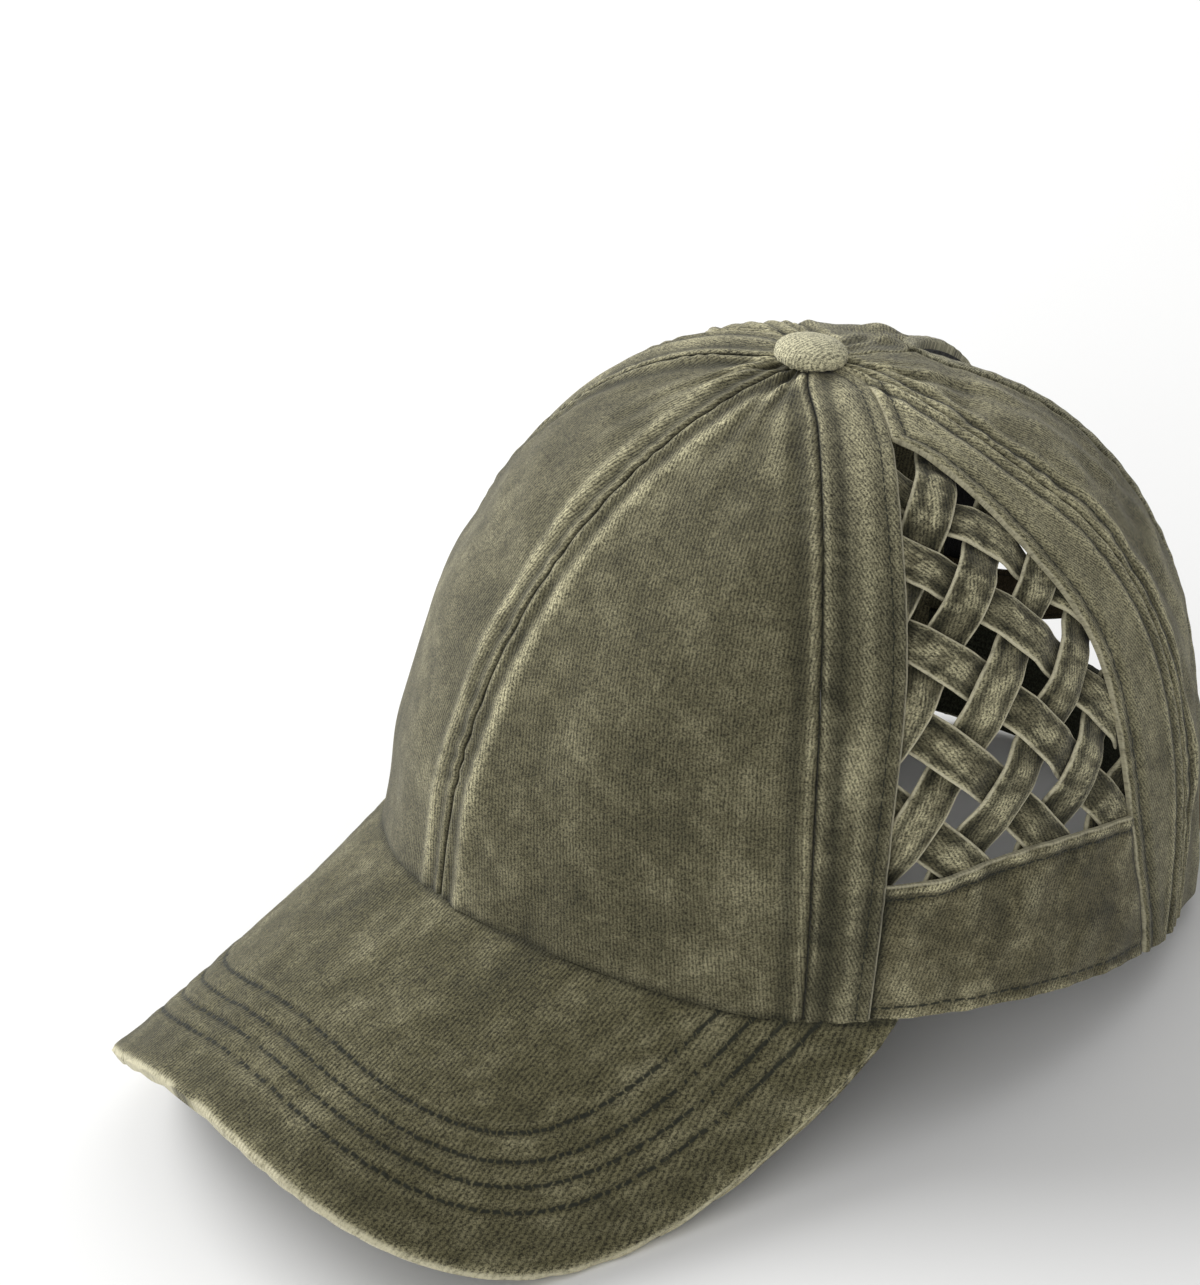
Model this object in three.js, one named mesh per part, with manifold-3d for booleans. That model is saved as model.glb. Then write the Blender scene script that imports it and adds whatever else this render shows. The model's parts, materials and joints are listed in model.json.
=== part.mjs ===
import * as THREE from 'three';
import Module from 'manifold-3d';

// Ponytail baseball cap: washed cotton crown with a woven lattice in each side and an open back.
// Millimetres, +Z up. The brim points to -Y and the wearer's left is +X.
// The cap is built with its rim at z = 0 and laid down on brim and strap at the end.

// Driving dimensions

const crown = {
  halfWidth: 88, frontLength: 94.8, backLength: 90.4, height: 116.4, apexBack: 8.9,
  frontBulge: 1.28, sideBulge: 0.84, backBulge: 0.74, rise: 0.79,
  frontRound: 1.893, backRound: 2.066,
};
const cloth = { thickness: 1.2, seamGap: 0.3, layerGap: 0.3, stripRaise: 0.3, buttonHole: 5.8 };
const peak = {
  length: 62.9, halfAngle: 70.6, pitch: 26.27, round: 2.73, flare: -6.1,
  curl: 3.884, curlGain: 3.216, curlFade: -12, thickness: 3.2, edgeRound: 0.9,
};
const weave = {
  width: 9.6, thickness: 1.5, lift: 0.95, rest: 4.5, tuck: 3, bulge: 1.6, bulgeReach: 18, facet: 0.03,
  centreAngle: 88, centreShare: 0.42, upAngle: 50, downAngle: -42,
};
const opening = { bindingWidth: 3.5, bindingRaise: 0.5, tapeWidth: 9, tapeThickness: 0.8, apex: 0.868 };
const elastic = { width: 12, thickness: 1.2, tuck: 8 };
const strap = { bottom: 0.6, top: 23, thickness: 2.2, innerTop: 26.5, innerThickness: 1.4, tuck: 10 };
const tab = { width: 13, bottom: 0.9, top: 22, thickness: 1.2, legGap: 1.1 };
const button = { radius: 8, dome: 5.2, rim: 2, stemGap: 0.6 };
const band = { height: 25, thickness: 1.2, endAngle: 142, rimClear: 1.2 };

// Seam angles in degrees from the front, against the share of the way from rim to top

const frontSeam = [
  { share: 0, angle: 57.3 }, { share: 0.2, angle: 56.2 }, { share: 0.79, angle: 54.9 },
  { share: 0.93, angle: 48.3 }, { share: 0.97, angle: 46 },
];
const stripBack = [
  { share: 0, angle: 66 }, { share: 0.175, angle: 66.8 }, { share: 0.339, angle: 68.6 },
  { share: 0.548, angle: 71 }, { share: 0.655, angle: 73.5 }, { share: 0.788, angle: 80.1 },
  { share: 0.856, angle: 86.5 }, { share: 0.932, angle: 103 }, { share: 0.97, angle: 112 },
];
const latticeBack = [
  { share: 0, angle: 114.3 }, { share: 0.089, angle: 109.3 }, { share: 0.188, angle: 107 },
  { share: 0.354, angle: 105.5 }, { share: 0.44, angle: 103.2 }, { share: 0.533, angle: 99 },
  { share: 0.622, angle: 95 }, { share: 0.701, angle: 91 }, { share: 0.754, angle: 86.6 },
  { share: 0.788, angle: 80.1 },
];
const backSeam = [
  { share: 0, angle: 124.5 }, { share: 0.32, angle: 123.4 }, { share: 0.528, angle: 119.5 },
  { share: 0.68, angle: 112.5 }, { share: 0.78, angle: 110.5 }, { share: 0.884, angle: 113.5 },
  { share: 0.952, angle: 122 }, { share: 0.97, angle: 126 },
];
const openingEdge = [
  { share: 0, angle: 152.6 }, { share: 0.27, angle: 154.8 }, { share: 0.48, angle: 158 },
  { share: 0.69, angle: 162 }, { share: 0.8, angle: 166 }, { share: 0.845, angle: 171 },
  { share: 0.868, angle: 178 }, { share: 0.875, angle: 180 }, { share: 0.97, angle: 180 },
];
const bandTop = [
  { angle: 60, height: 29 }, { angle: 73.7, height: 30.7 }, { angle: 80.3, height: 33.2 },
  { angle: 87.8, height: 35.1 }, { angle: 96.8, height: 35.8 }, { angle: 112, height: 35.2 },
];
const rimArch = [
  { angle: 0, height: 4.2 }, { angle: 25, height: 2.4 }, { angle: 57, height: -2.6 },
  { angle: 75, height: -1 }, { angle: 88, height: 0 }, { angle: 180, height: 0 },
];

// Soft dents of the crown, depth in millimetres

const dents = [
  { angle: 26, share: 0.88, wide: 14, tall: 0.1, depth: 0.8 },
  { angle: 34, share: 0.12, wide: 16, tall: 0.1, depth: 0.7 },
  { angle: 140, share: 0.3, wide: 7, tall: 0.16, depth: 1.2 },
  { angle: 132, share: 0.55, wide: 6, tall: 0.12, depth: 0.9 },
  { angle: 148, share: 0.6, wide: 6, tall: 0.14, depth: 0.9 },
];

// Elastic ribbons: heights and depths at the left and right ends of the opening

const elastics = [
  { name: 'elastic_band_1', left: 102, right: 85, depthLeft: 4.3, depthRight: 5.4, bow: 4.4, bend: 1 },
  { name: 'elastic_band_2', left: 85, right: 102, depthLeft: 3.7, depthRight: 4.3, bow: 2.9, bend: 1 },
  { name: 'elastic_band_3', left: 75.5, right: 35.5, depthLeft: 5.4, depthRight: 3.5, bow: 7.2, bend: 1.3 },
  { name: 'elastic_band_4', left: 35.5, right: 75.5, depthLeft: 3.5, depthRight: 3.6, bow: 6, bend: 1.3 },
];

// Woven strips: offset of each centre line from the middle of the lattice

const upStrips = [-26, -12, 3, 18, 33, 47.5];
const downStrips = [19.5, 3.8, -12.3, -28.4, -44.5];

const colours = {
  twill: 0x5c5842, peak: 0x56523c, strip: 0x5a5640, lattice: 0x57533d, binding: 0x74705a,
  elastic: 0x453b2a, strap: 0x58563f, fastener: 0x2f3022, leather: 0x7d4e32, black: 0x131313,
  button: 0x6a6650,
};

const DEG = Math.PI / 180;
const TOP = 0.97;
const BLEND = 0.85;
const group = new THREE.Group();
group.name = 'ponytail_baseball_cap';

// Smooth curve through the rows of a table

function curve(rows, key, column) {
  const x = rows.map((r) => r[key]);
  const y = rows.map((r) => r[column]);
  const last = x.length - 1;
  const slope = (i) => (y[i + 1] - y[i]) / (x[i + 1] - x[i]);
  const tangent = x.map((_, i) => {
    if (i === 0) return slope(0);
    if (i === last) return slope(last - 1);
    const before = slope(i - 1);
    const after = slope(i);
    return before * after <= 0 ? 0 : (2 * before * after) / (before + after);
  });
  return (at) => {
    if (at <= x[0]) return y[0];
    if (at >= x[last]) return y[last];
    let i = 0;
    while (at > x[i + 1]) i += 1;
    const w = x[i + 1] - x[i];
    const s = (at - x[i]) / w;
    const a = (1 + 2 * s) * (1 - s) ** 2;
    const b = s * (1 - s) ** 2 * w;
    const c = s * s * (3 - 2 * s);
    const d = s * s * (s - 1) * w;
    return a * y[i] + b * tangent[i] + c * y[i + 1] + d * tangent[i + 1];
  };
}

const mix = (a, b, s) => a + (b - a) * s;
const limit = (v, low, high) => Math.min(high, Math.max(low, v));
const smooth = (s) => {
  const c = limit(s, 0, 1);
  return c * c * (3 - 2 * c);
};
const power = (v, p) => Math.sign(v) * Math.abs(v) ** p;

const seams = {
  front: curve(frontSeam, 'share', 'angle'),
  strip: curve(stripBack, 'share', 'angle'),
  lattice: curve(latticeBack, 'share', 'angle'),
  back: curve(backSeam, 'share', 'angle'),
  opening: curve(openingEdge, 'share', 'angle'),
};
const bandHeight = curve(bandTop, 'angle', 'height');
const archHeight = curve(rimArch, 'angle', 'height');
const foldAngle = (angle) => {
  const a = Math.abs(((angle % 360) + 360) % 360);
  return a > 180 ? 360 - a : a;
};

// Crown surface: angle from the front in degrees, share 0 at the rim and 1 at the top

function bulgeAt(angle) {
  const c = Math.cos(angle * DEG);
  const end = c > 0 ? crown.frontBulge : crown.backBulge;
  return crown.sideBulge + (end - crown.sideBulge) * c * c;
}

function rimPoint(angle) {
  const s = Math.sin(angle * DEG);
  const c = Math.cos(angle * DEG);
  const n = c > 0 ? crown.frontRound : crown.backRound;
  const length = c > 0 ? crown.frontLength : crown.backLength;
  return [crown.halfWidth * power(s, 2 / n), -length * power(c, 2 / n)];
}

function crownPoint(angle, share) {
  const phi = limit(share, 0, 1) * Math.PI / 2;
  const [x, y] = rimPoint(angle);
  const r = Math.cos(phi) ** bulgeAt(angle);
  const arch = archHeight(foldAngle(angle)) * (1 - limit(share / 0.35, 0, 1)) ** 2;
  const back = -crown.apexBack * (1 - r);
  return new THREE.Vector3(x * r, y * r + back, crown.height * Math.sin(phi) ** crown.rise + arch);
}

function crownNormal(angle, share) {
  const t = limit(share, 0.002, 0.985);
  const across = crownPoint(angle + 0.05, t).sub(crownPoint(angle - 0.05, t));
  const up = crownPoint(angle, t + 0.001).sub(crownPoint(angle, t - 0.001));
  const normal = across.cross(up).normalize();
  if (share < 0.01) normal.setZ(0).normalize();
  return normal;
}

function dentDepth(angle, share) {
  const a = foldAngle(angle);
  let sum = 0;
  for (const d of dents) {
    sum += d.depth * Math.exp(-(((a - d.angle) / d.wide) ** 2) - ((share - d.share) / d.tall) ** 2);
  }
  return sum;
}

function skin(angle, share, depth) {
  const inward = depth + dentDepth(angle, share);
  return crownPoint(angle, share).addScaledVector(crownNormal(angle, share), -inward);
}

// Near the top every piece ends at the hole under the button

function topShare(angle) {
  const [x, y] = rimPoint(angle);
  return Math.acos((cloth.buttonHole / Math.hypot(x, y)) ** (1 / bulgeAt(angle))) / (Math.PI / 2);
}

function shareAt(angle, level) {
  if (level <= BLEND) return level;
  return BLEND + (level - BLEND) * (topShare(angle) - BLEND) / (TOP - BLEND);
}

const shareOfHeight = (z) => Math.asin((z / crown.height) ** (1 / crown.rise)) / (Math.PI / 2);

// Angle that lies a distance in millimetres beside a seam

function beside(seam, level, distance) {
  const e = 0.002;
  const at = (l) => crownPoint(seam(l), shareAt(seam(l), l));
  const along = at(limit(level + e, 0, TOP)).sub(at(limit(level - e, 0, TOP)));
  const angle = seam(level);
  const share = shareAt(angle, level);
  const turn = crownPoint(angle + 0.5, share).sub(crownPoint(angle - 0.5, share));
  const side = crownNormal(angle, share).cross(along).normalize();
  return angle + distance / Math.max(Math.abs(turn.dot(side)), 0.02);
}

// Closed solid from an outer and an inner grid of points

function solid(name, colour, columns, rows, point, rough = 0.92) {
  const points = [];
  const id = (i, j, face) => (face * (rows + 1) + j) * (columns + 1) + i;
  for (let face = 0; face < 2; face += 1) {
    for (let j = 0; j <= rows; j += 1) {
      for (let i = 0; i <= columns; i += 1) points.push(point(i / columns, j / rows, face, i, j));
    }
  }
  const faces = [];
  const quad = (a, b, c, d) => faces.push([a, b, c], [a, c, d]);
  for (let j = 0; j < rows; j += 1) {
    for (let i = 0; i < columns; i += 1) {
      quad(id(i, j, 0), id(i + 1, j, 0), id(i + 1, j + 1, 0), id(i, j + 1, 0));
      quad(id(i, j + 1, 1), id(i + 1, j + 1, 1), id(i + 1, j, 1), id(i, j, 1));
    }
    quad(id(0, j, 1), id(0, j, 0), id(0, j + 1, 0), id(0, j + 1, 1));
    quad(id(columns, j, 0), id(columns, j, 1), id(columns, j + 1, 1), id(columns, j + 1, 0));
  }
  for (let i = 0; i < columns; i += 1) {
    quad(id(i, 0, 0), id(i, 0, 1), id(i + 1, 0, 1), id(i + 1, 0, 0));
    quad(id(i, rows, 1), id(i, rows, 0), id(i + 1, rows, 0), id(i + 1, rows, 1));
  }
  addMesh(name, colour, points, faces, rough);
}

// Faces of a closed tube from rings of points, with a fan over each end

function tubeFaces(rings, n) {
  const faces = [];
  for (let k = 0; k < rings - 1; k += 1) {
    for (let i = 0; i < n; i += 1) {
      const a = k * n + i;
      const b = k * n + ((i + 1) % n);
      faces.push([a, b, b + n], [a, b + n, a + n]);
    }
  }
  const end = (rings - 1) * n;
  for (let i = 1; i < n - 1; i += 1) faces.push([0, i + 1, i], [end, end + i, end + i + 1]);
  return faces;
}

function signedVolume(points, faces) {
  let volume = 0;
  for (const [a, b, c] of faces) {
    volume += points[a].dot(new THREE.Vector3().crossVectors(points[b], points[c]));
  }
  return volume;
}

function addMesh(name, colour, points, faces, rough) {
  const order = signedVolume(points, faces) > 0 ? faces : faces.map(([a, b, c]) => [a, c, b]);
  const geometry = new THREE.BufferGeometry();
  geometry.setAttribute('position', new THREE.Float32BufferAttribute(points.flatMap((p) => p.toArray()), 3));
  geometry.setIndex(order.flat());
  addGeometry(name, colour, geometry, rough);
}

function addGeometry(name, colour, geometry, rough) {
  geometry.computeVertexNormals();
  const material = new THREE.MeshStandardMaterial({ color: colour, roughness: rough, metalness: 0 });
  const mesh = new THREE.Mesh(geometry, material);
  mesh.name = name;
  group.add(mesh);
}

const sides = [{ label: 'left', sign: 1 }, { label: 'right', sign: -1 }];
const half = cloth.seamGap / 2;

// Part of the crown wall between two seams

function wall(name, colour, sign, shape) {
  const { from, to, low = 0, high = TOP, outer = 0, inner = cloth.thickness, columns, top, levels } = shape;
  const rows = levels ? levels.length - 1 : shape.rows;
  solid(name, colour, columns, rows, (u, v, face, i, j) => {
    let level = levels ? levels[j] : mix(low, high, v);
    let angle = mix(from(level), to(level), u);
    for (let k = 0; top && k < 4; k += 1) {
      level = mix(low, top(angle), v);
      angle = mix(from(level), to(level), u);
    }
    return skin(sign * angle, shareAt(angle, level), face ? inner : outer);
  });
}

const bandShare = (angle) => shareOfHeight(bandHeight(angle));
const pastCorner = latticeBack[latticeBack.length - 1].share;
const backStripFront = (l) => (l < pastCorner ? seams.lattice(l) : seams.strip(l));
const panelBackEdge = (l) => {
  const hem = opening.bindingWidth + cloth.seamGap + half;
  const width = mix(hem, half, smooth((l - opening.apex + 0.004) / 0.022));
  return Math.min(beside(seams.opening, l, -width), beside(() => 180, l, -half));
};
const backLevels = [0, 0.06, 0.12, 0.18, 0.25, 0.32, 0.39, 0.46, 0.53, 0.6, 0.66, 0.72, 0.77, 0.81, 0.84,
  opening.apex - 0.004, opening.apex + 0.008, opening.apex + 0.02, 0.92, TOP];
const openingLip = (l) => Math.min(beside(seams.opening, l, 0), beside(() => 180, l, -half));

for (const { label, sign } of sides) {
  wall(`front_panel_${label}`, colours.twill, sign, {
    from: (l) => beside(() => 0, l, half), to: (l) => beside(seams.front, l, -half),
    columns: 9, rows: 12,
  });
  wall(`front_strip_${label}`, colours.strip, sign, {
    from: (l) => beside(seams.front, l, half), to: (l) => beside(seams.strip, l, -half),
    outer: -cloth.stripRaise, columns: 2, rows: 18,
  });
  wall(`back_strip_${label}`, colours.strip, sign, {
    from: (l) => beside(backStripFront, l, half), to: (l) => beside(seams.back, l, -half),
    outer: -cloth.stripRaise, columns: 2, rows: 26,
  });
  wall(`back_panel_${label}`, colours.twill, sign, {
    from: (l) => beside(seams.back, l, half), to: panelBackEdge, columns: 7, levels: backLevels,
  });
  wall(`side_band_${label}`, colours.strip, sign, {
    from: (l) => beside(seams.strip, l, half), to: (l) => beside(seams.lattice, l, -half),
    high: 0.2, top: bandShare, columns: 12, rows: 3,
  });
  wall(`opening_binding_${label}`, colours.binding, sign, {
    from: (l) => beside(seams.opening, l, -opening.bindingWidth), to: openingLip,
    outer: -opening.bindingRaise, columns: 1, levels: backLevels.filter((l) => l < opening.apex),
  });
  wall(`opening_tape_${label}`, colours.black, sign, {
    from: (l) => beside(seams.opening, l, -opening.tapeWidth), to: (l) => beside(seams.opening, l, -0.6),
    low: shareOfHeight(band.height + 6), high: opening.apex - 0.02,
    outer: cloth.thickness + cloth.layerGap,
    inner: cloth.thickness + cloth.layerGap + opening.tapeThickness, columns: 1, rows: 14,
  });
}

// Brim: height field from the rim out to the rounded edge

function peakHeight(x, y) {
  const out = -(y + crown.frontLength);
  const curl = (peak.curl + peak.curlGain * out / 70) * 1e-3;
  return -Math.tan(peak.pitch * DEG) * out - curl * x * x / (1 + peak.curlFade * 1e-5 * x * x);
}

function peakEdge(u) {
  const [xb, yb] = rimPoint(peak.halfAngle);
  const length = crown.frontLength + peak.length + yb;
  const s = Math.sin(u * Math.PI / 2);
  const c = Math.cos(u * Math.PI / 2);
  const y = yb - length * Math.abs(c) ** (2 / peak.round);
  const f = (yb - y) / length;
  return [xb * power(s, 2 / peak.round) + Math.sign(s) * peak.flare * 4 * f * (1 - f), y];
}

function peakTop(u, w) {
  const angle = u * peak.halfAngle;
  const inner = rimPoint(angle);
  const outer = peakEdge(u);
  const x = mix(inner[0], outer[0], w);
  const y = mix(inner[1], outer[1], w);
  const seat = archHeight(foldAngle(angle)) - cloth.layerGap - peakHeight(inner[0], inner[1]);
  return new THREE.Vector3(x, y, peakHeight(x, y) + seat * (1 - w) ** 2);
}

const peakRows = [0, 0.14, 0.32, 0.5, 0.68, 0.84, 0.97, 1];
solid('brim', colours.peak, 32, peakRows.length - 1, (uu, vv, face, i, j) => {
  const u = limit(mix(-1, 1, uu), -0.99, 0.99);
  const w = peakRows[j];
  const across = peakTop(u + 0.004, w).sub(peakTop(u - 0.004, w));
  const out = peakTop(u, w + 0.01).sub(peakTop(u, w - 0.01));
  const normal = out.cross(across).normalize();
  if (normal.z < 0) normal.negate();
  const round = w === 1 ? peak.edgeRound : 0;
  return peakTop(u, w).addScaledVector(normal, face ? round - peak.thickness : -round);
});

// Sweatband inside the rim

const bandOuter = cloth.thickness + 1.3 * cloth.layerGap;
solid('sweatband', colours.black, 48, 1, (u, v, face) => {
  const angle = mix(-band.endAngle, band.endAngle, u);
  const share = shareOfHeight(mix(band.rimClear, band.height, v));
  return skin(angle, share, face ? bandOuter + band.thickness : bandOuter);
}, 0.8);

// Woven lattice, laid out in a flat chart that touches the crown at the middle of the side

const chart = (() => {
  const centre = crownPoint(weave.centreAngle, weave.centreShare);
  const normal = crownNormal(weave.centreAngle, weave.centreShare);
  const back = new THREE.Vector3(0, 1, 0);
  back.addScaledVector(normal, -normal.y).normalize();
  const up = new THREE.Vector3().crossVectors(normal, back);
  const toFlat = (p) => {
    const q = p.clone().sub(centre);
    return [q.dot(back), q.dot(up)];
  };
  const toCrown = (a, b) => {
    let angle = weave.centreAngle;
    let share = weave.centreShare;
    for (let k = 0; k < 30; k += 1) {
      const f = toFlat(crownPoint(angle, share));
      const fa = toFlat(crownPoint(angle + 0.05, share));
      const fs = toFlat(crownPoint(angle, share + 0.0005));
      const m = [(fa[0] - f[0]) / 0.05, (fs[0] - f[0]) / 0.0005, (fa[1] - f[1]) / 0.05, (fs[1] - f[1]) / 0.0005];
      const det = m[0] * m[3] - m[1] * m[2];
      const da = a - f[0];
      const db = b - f[1];
      angle += limit((m[3] * da - m[1] * db) / det, -8, 8);
      share = limit(share + limit((m[0] * db - m[2] * da) / det, -0.08, 0.08), 0.02, 0.93);
      if (Math.hypot(da, db) < 1e-4) break;
    }
    return [angle, share];
  };
  return { toFlat, toCrown, centre, normal, back, up };
})();

const outline = (() => {
  const flat = (angle, share) => chart.toFlat(crownPoint(angle, share));
  const points = [];
  const low = [bandShare(67), bandShare(107)];
  for (let k = 0; k <= 24; k += 1) {
    const s = mix(low[0], pastCorner, k / 24);
    points.push(flat(seams.strip(s), s));
  }
  for (let k = 1; k <= 24; k += 1) {
    const s = mix(pastCorner, low[1], k / 24);
    points.push(flat(seams.lattice(s), s));
  }
  for (let k = 1; k < 16; k += 1) {
    const a = mix(seams.lattice(low[1]), seams.strip(low[0]), k / 16);
    points.push(flat(a, bandShare(a)));
  }
  return points;
})();

function inField(a, b) {
  let odd = false;
  for (let i = 0, j = outline.length - 1; i < outline.length; j = i, i += 1) {
    const [ax, ay] = outline[i];
    const [bx, by] = outline[j];
    if (ay > b !== by > b && a < ((bx - ax) * (b - ay)) / (by - ay) + ax) odd = !odd;
  }
  return odd;
}

function fromBorder(a, b) {
  let best = Infinity;
  for (let i = 0, j = outline.length - 1; i < outline.length; j = i, i += 1) {
    const [ax, ay] = outline[j];
    const dx = outline[i][0] - ax;
    const dy = outline[i][1] - ay;
    const s = limit(((a - ax) * dx + (b - ay) * dy) / (dx * dx + dy * dy), 0, 1);
    best = Math.min(best, Math.hypot(a - ax - dx * s, b - ay - dy * s));
  }
  return best;
}

const families = {
  up: { angle: weave.upAngle, turn: -1, offsets: upStrips },
  down: { angle: weave.downAngle, turn: 1, offsets: downStrips },
};
for (const f of Object.values(families)) {
  f.along = [Math.cos(f.angle * DEG), Math.sin(f.angle * DEG)];
  f.across = [-f.turn * f.along[1], f.turn * f.along[0]];
}

// Crossings along a strip: -1 is the outside of the weave and 1 the inside, flat over each crossing

function crossingAt(other, k) {
  const list = other.offsets;
  const last = list.length - 1;
  const pitch = (list[last] - list[0]) / last;
  if (k < 0) return list[0] + k * pitch;
  return k > last ? list[last] + (k - last) * pitch : list[k];
}

function wave(kind, index, other, position) {
  const sideOf = (k) => ((kind === 'up') === ((index + k) % 2 === 0) ? -1 : 1);
  let k = -4;
  while ((position - crossingAt(other, k + 1)) / (crossingAt(other, k + 1) - crossingAt(other, k)) >= 0) k += 1;
  const here = crossingAt(other, k);
  const gap = crossingAt(other, k + 1) - here;
  const rest = weave.rest / Math.abs(gap);
  return mix(sideOf(k), sideOf(k + 1), smooth(((position - here) / gap - rest) / (1 - 2 * rest)));
}

function stationsOf(own, other, index, start, stop) {
  const o = own.offsets[index];
  const first = o * (own.across[0] * other.across[0] + own.across[1] * other.across[1]);
  const rate = own.along[0] * other.across[0] + own.along[1] * other.across[1];
  const places = [];
  for (let k = -4; k < other.offsets.length + 4; k += 1) {
    const here = crossingAt(other, k);
    const next = crossingAt(other, k + 1);
    const rest = weave.rest * Math.sign(next - here);
    for (const share of [0, 1 / 3, 2 / 3, 1]) places.push((mix(here + rest, next - rest, share) - first) / rate);
  }
  const inner = places.filter((s) => s > start + 1.2 && s < stop - 1.2).sort((a, b) => a - b);
  return [start, ...inner, stop];
}

const profile = [
  { at: -1, rise: 0 }, { at: -0.72, rise: 1 }, { at: 0.72, rise: 1 },
  { at: 1, rise: 0 }, { at: 0.72, rise: -1 }, { at: -0.72, rise: -1 },
];
const wallDepth = cloth.thickness + cloth.layerGap;
const deepest = wallDepth + weave.lift + weave.thickness / 2;

function latticeStrip(kind, index) {
  const own = families[kind];
  const other = families[kind === 'up' ? 'down' : 'up'];
  const place = (s, w) => {
    const o = own.offsets[index] + w;
    return [own.along[0] * s + own.across[0] * o, own.along[1] * s + own.across[1] * o];
  };
  let start = Infinity;
  let stop = -Infinity;
  for (const w of [-weave.width / 2, 0, weave.width / 2]) {
    for (let s = -90; s <= 90; s += 0.5) {
      if (inField(...place(s, w))) {
        start = Math.min(start, s - weave.tuck - 2);
        stop = Math.max(stop, s + weave.tuck + 2);
      }
    }
  }
  return stationsOf(own, other, index, start, stop).map((s) => (
    profile.map(({ at, rise }) => {
      const [a, b] = place(s, at * weave.width / 2);
      const q = a * other.across[0] + b * other.across[1];
      const risen = inField(a, b) ? smooth((fromBorder(a, b) - 1) / weave.bulgeReach) : 0;
      const depth = deepest - weave.bulge * risen + weave.lift * wave(kind, index, other, q);
      const [angle, share] = chart.toCrown(a, b);
      return skin(angle, share, depth - rise * weave.thickness / 2);
    })
  ));
}

// Each strip is cut off just behind the edges of the pieces round the lattice

const wasm = await Module();
wasm.setup();

const cutter = (() => {
  const { centre, normal, back, up } = chart;
  const base = centre.clone().addScaledVector(normal, -60);
  const matrix = [...back.toArray(), 0, ...up.toArray(), 0, ...normal.toArray(), 0, ...base.toArray(), 1];
  const around = new wasm.CrossSection([outline], 'NonZero').offset(weave.tuck, 'Round', 2, 24);
  return around.extrude(90).transform(matrix);
})();

function cutStrip(rings) {
  const points = rings.flat();
  const faces = tubeFaces(rings.length, profile.length);
  const order = signedVolume(points, faces) > 0 ? faces : faces.map(([a, b, c]) => [a, c, b]);
  const body = new wasm.Manifold(new wasm.Mesh({
    numProp: 3,
    vertProperties: new Float32Array(points.flatMap((p) => p.toArray())),
    triVerts: new Uint32Array(order.flat()),
  }));
  const parts = body.intersect(cutter).decompose();
  parts.sort((a, b) => b.volume() - a.volume());
  const mesh = parts[0].simplify(weave.facet).getMesh();
  const kept = [];
  for (let i = 0; i < mesh.numVert; i += 1) {
    const o = i * mesh.numProp;
    kept.push(new THREE.Vector3(...mesh.vertProperties.slice(o, o + 3)));
  }
  const triangles = [];
  for (let i = 0; i < mesh.triVerts.length; i += 3) triangles.push([...mesh.triVerts.slice(i, i + 3)]);
  return { points: kept, faces: triangles };
}

for (const [kind, family] of Object.entries(families)) {
  family.offsets.forEach((_, index) => {
    const { points, faces } = cutStrip(latticeStrip(kind, index));
    for (const { label, sign } of sides) {
      const placed = points.map((p) => new THREE.Vector3(sign * p.x, p.y, p.z));
      addMesh(`lattice_${kind}_${index + 1}_${label}`, colours.lattice, placed, faces, 0.92);
    }
  });
}

// Elastic ribbons across the opening

function ribbonPath(e, s) {
  const c = limit(s, 0, 1);
  const rise = e.right > e.left ? c ** e.bend : 1 - (1 - c) ** e.bend;
  const z = mix(e.left, e.right, rise);
  const share = shareOfHeight(z);
  const low = seams.opening(share);
  const step = crownPoint(low + 0.5, share).distanceTo(crownPoint(low - 0.5, share));
  const extra = s < 0 ? s : Math.max(0, s - 1);
  const angle = mix(low, 360 - low, c) + extra / step;
  const depth = mix(e.depthLeft, e.depthRight, c) + e.bow * Math.sin(Math.PI * c);
  return { angle, share, depth };
}

for (const e of elastics) {
  const stations = [-elastic.tuck, -elastic.tuck / 2];
  for (let k = 0; k <= 18; k += 1) stations.push(k / 18);
  stations.push(1 + elastic.tuck / 2, 1 + elastic.tuck);
  const at = (s) => {
    const p = ribbonPath(e, s);
    return crownPoint(p.angle, p.share).addScaledVector(crownNormal(p.angle, p.share), -p.depth);
  };
  solid(e.name, colours.elastic, 1, stations.length - 1, (u, v, face, i, j) => {
    const s = stations[j];
    const ahead = j < stations.length - 1 ? stations[j + 1] : s;
    const behind = j > 0 ? stations[j - 1] : s;
    const p = ribbonPath(e, s);
    const normal = crownNormal(p.angle, p.share);
    const along = at(ahead).sub(at(behind)).normalize();
    const wide = new THREE.Vector3().crossVectors(normal, along).normalize();
    const flatNormal = new THREE.Vector3().crossVectors(along, wide).normalize();
    const out = face ? -elastic.thickness / 2 : elastic.thickness / 2;
    return at(s).addScaledVector(wide, (u - 0.5) * elastic.width).addScaledVector(flatNormal, out);
  }, 0.85);
}

// Closing strap, fastener strap behind it and leather tab

function plate(name, colour, angles, low, high, outer, inner, columns, rows, rough) {
  solid(name, colour, columns, rows, (u, v, face) => {
    const z = mix(low, high, v);
    return skin(mix(angles[0], angles[1], u), shareOfHeight(z), face ? inner : outer);
  }, rough);
}

const strapFrom = beside(seams.opening, 0.05, cloth.seamGap + 0.4);
plate('strap_outer', colours.strap, [strapFrom, 360 - strapFrom], strap.bottom, strap.top,
  0, strap.thickness, 20, 1, 0.92);
const innerFrom = beside(seams.opening, 0.05, -strap.tuck);
const innerDepth = strap.thickness + cloth.layerGap;
plate('strap_inner', colours.fastener, [innerFrom, 360 - innerFrom], strap.bottom + 1, strap.innerTop,
  innerDepth, innerDepth + strap.innerThickness, 24, 1, 0.95);

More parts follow.
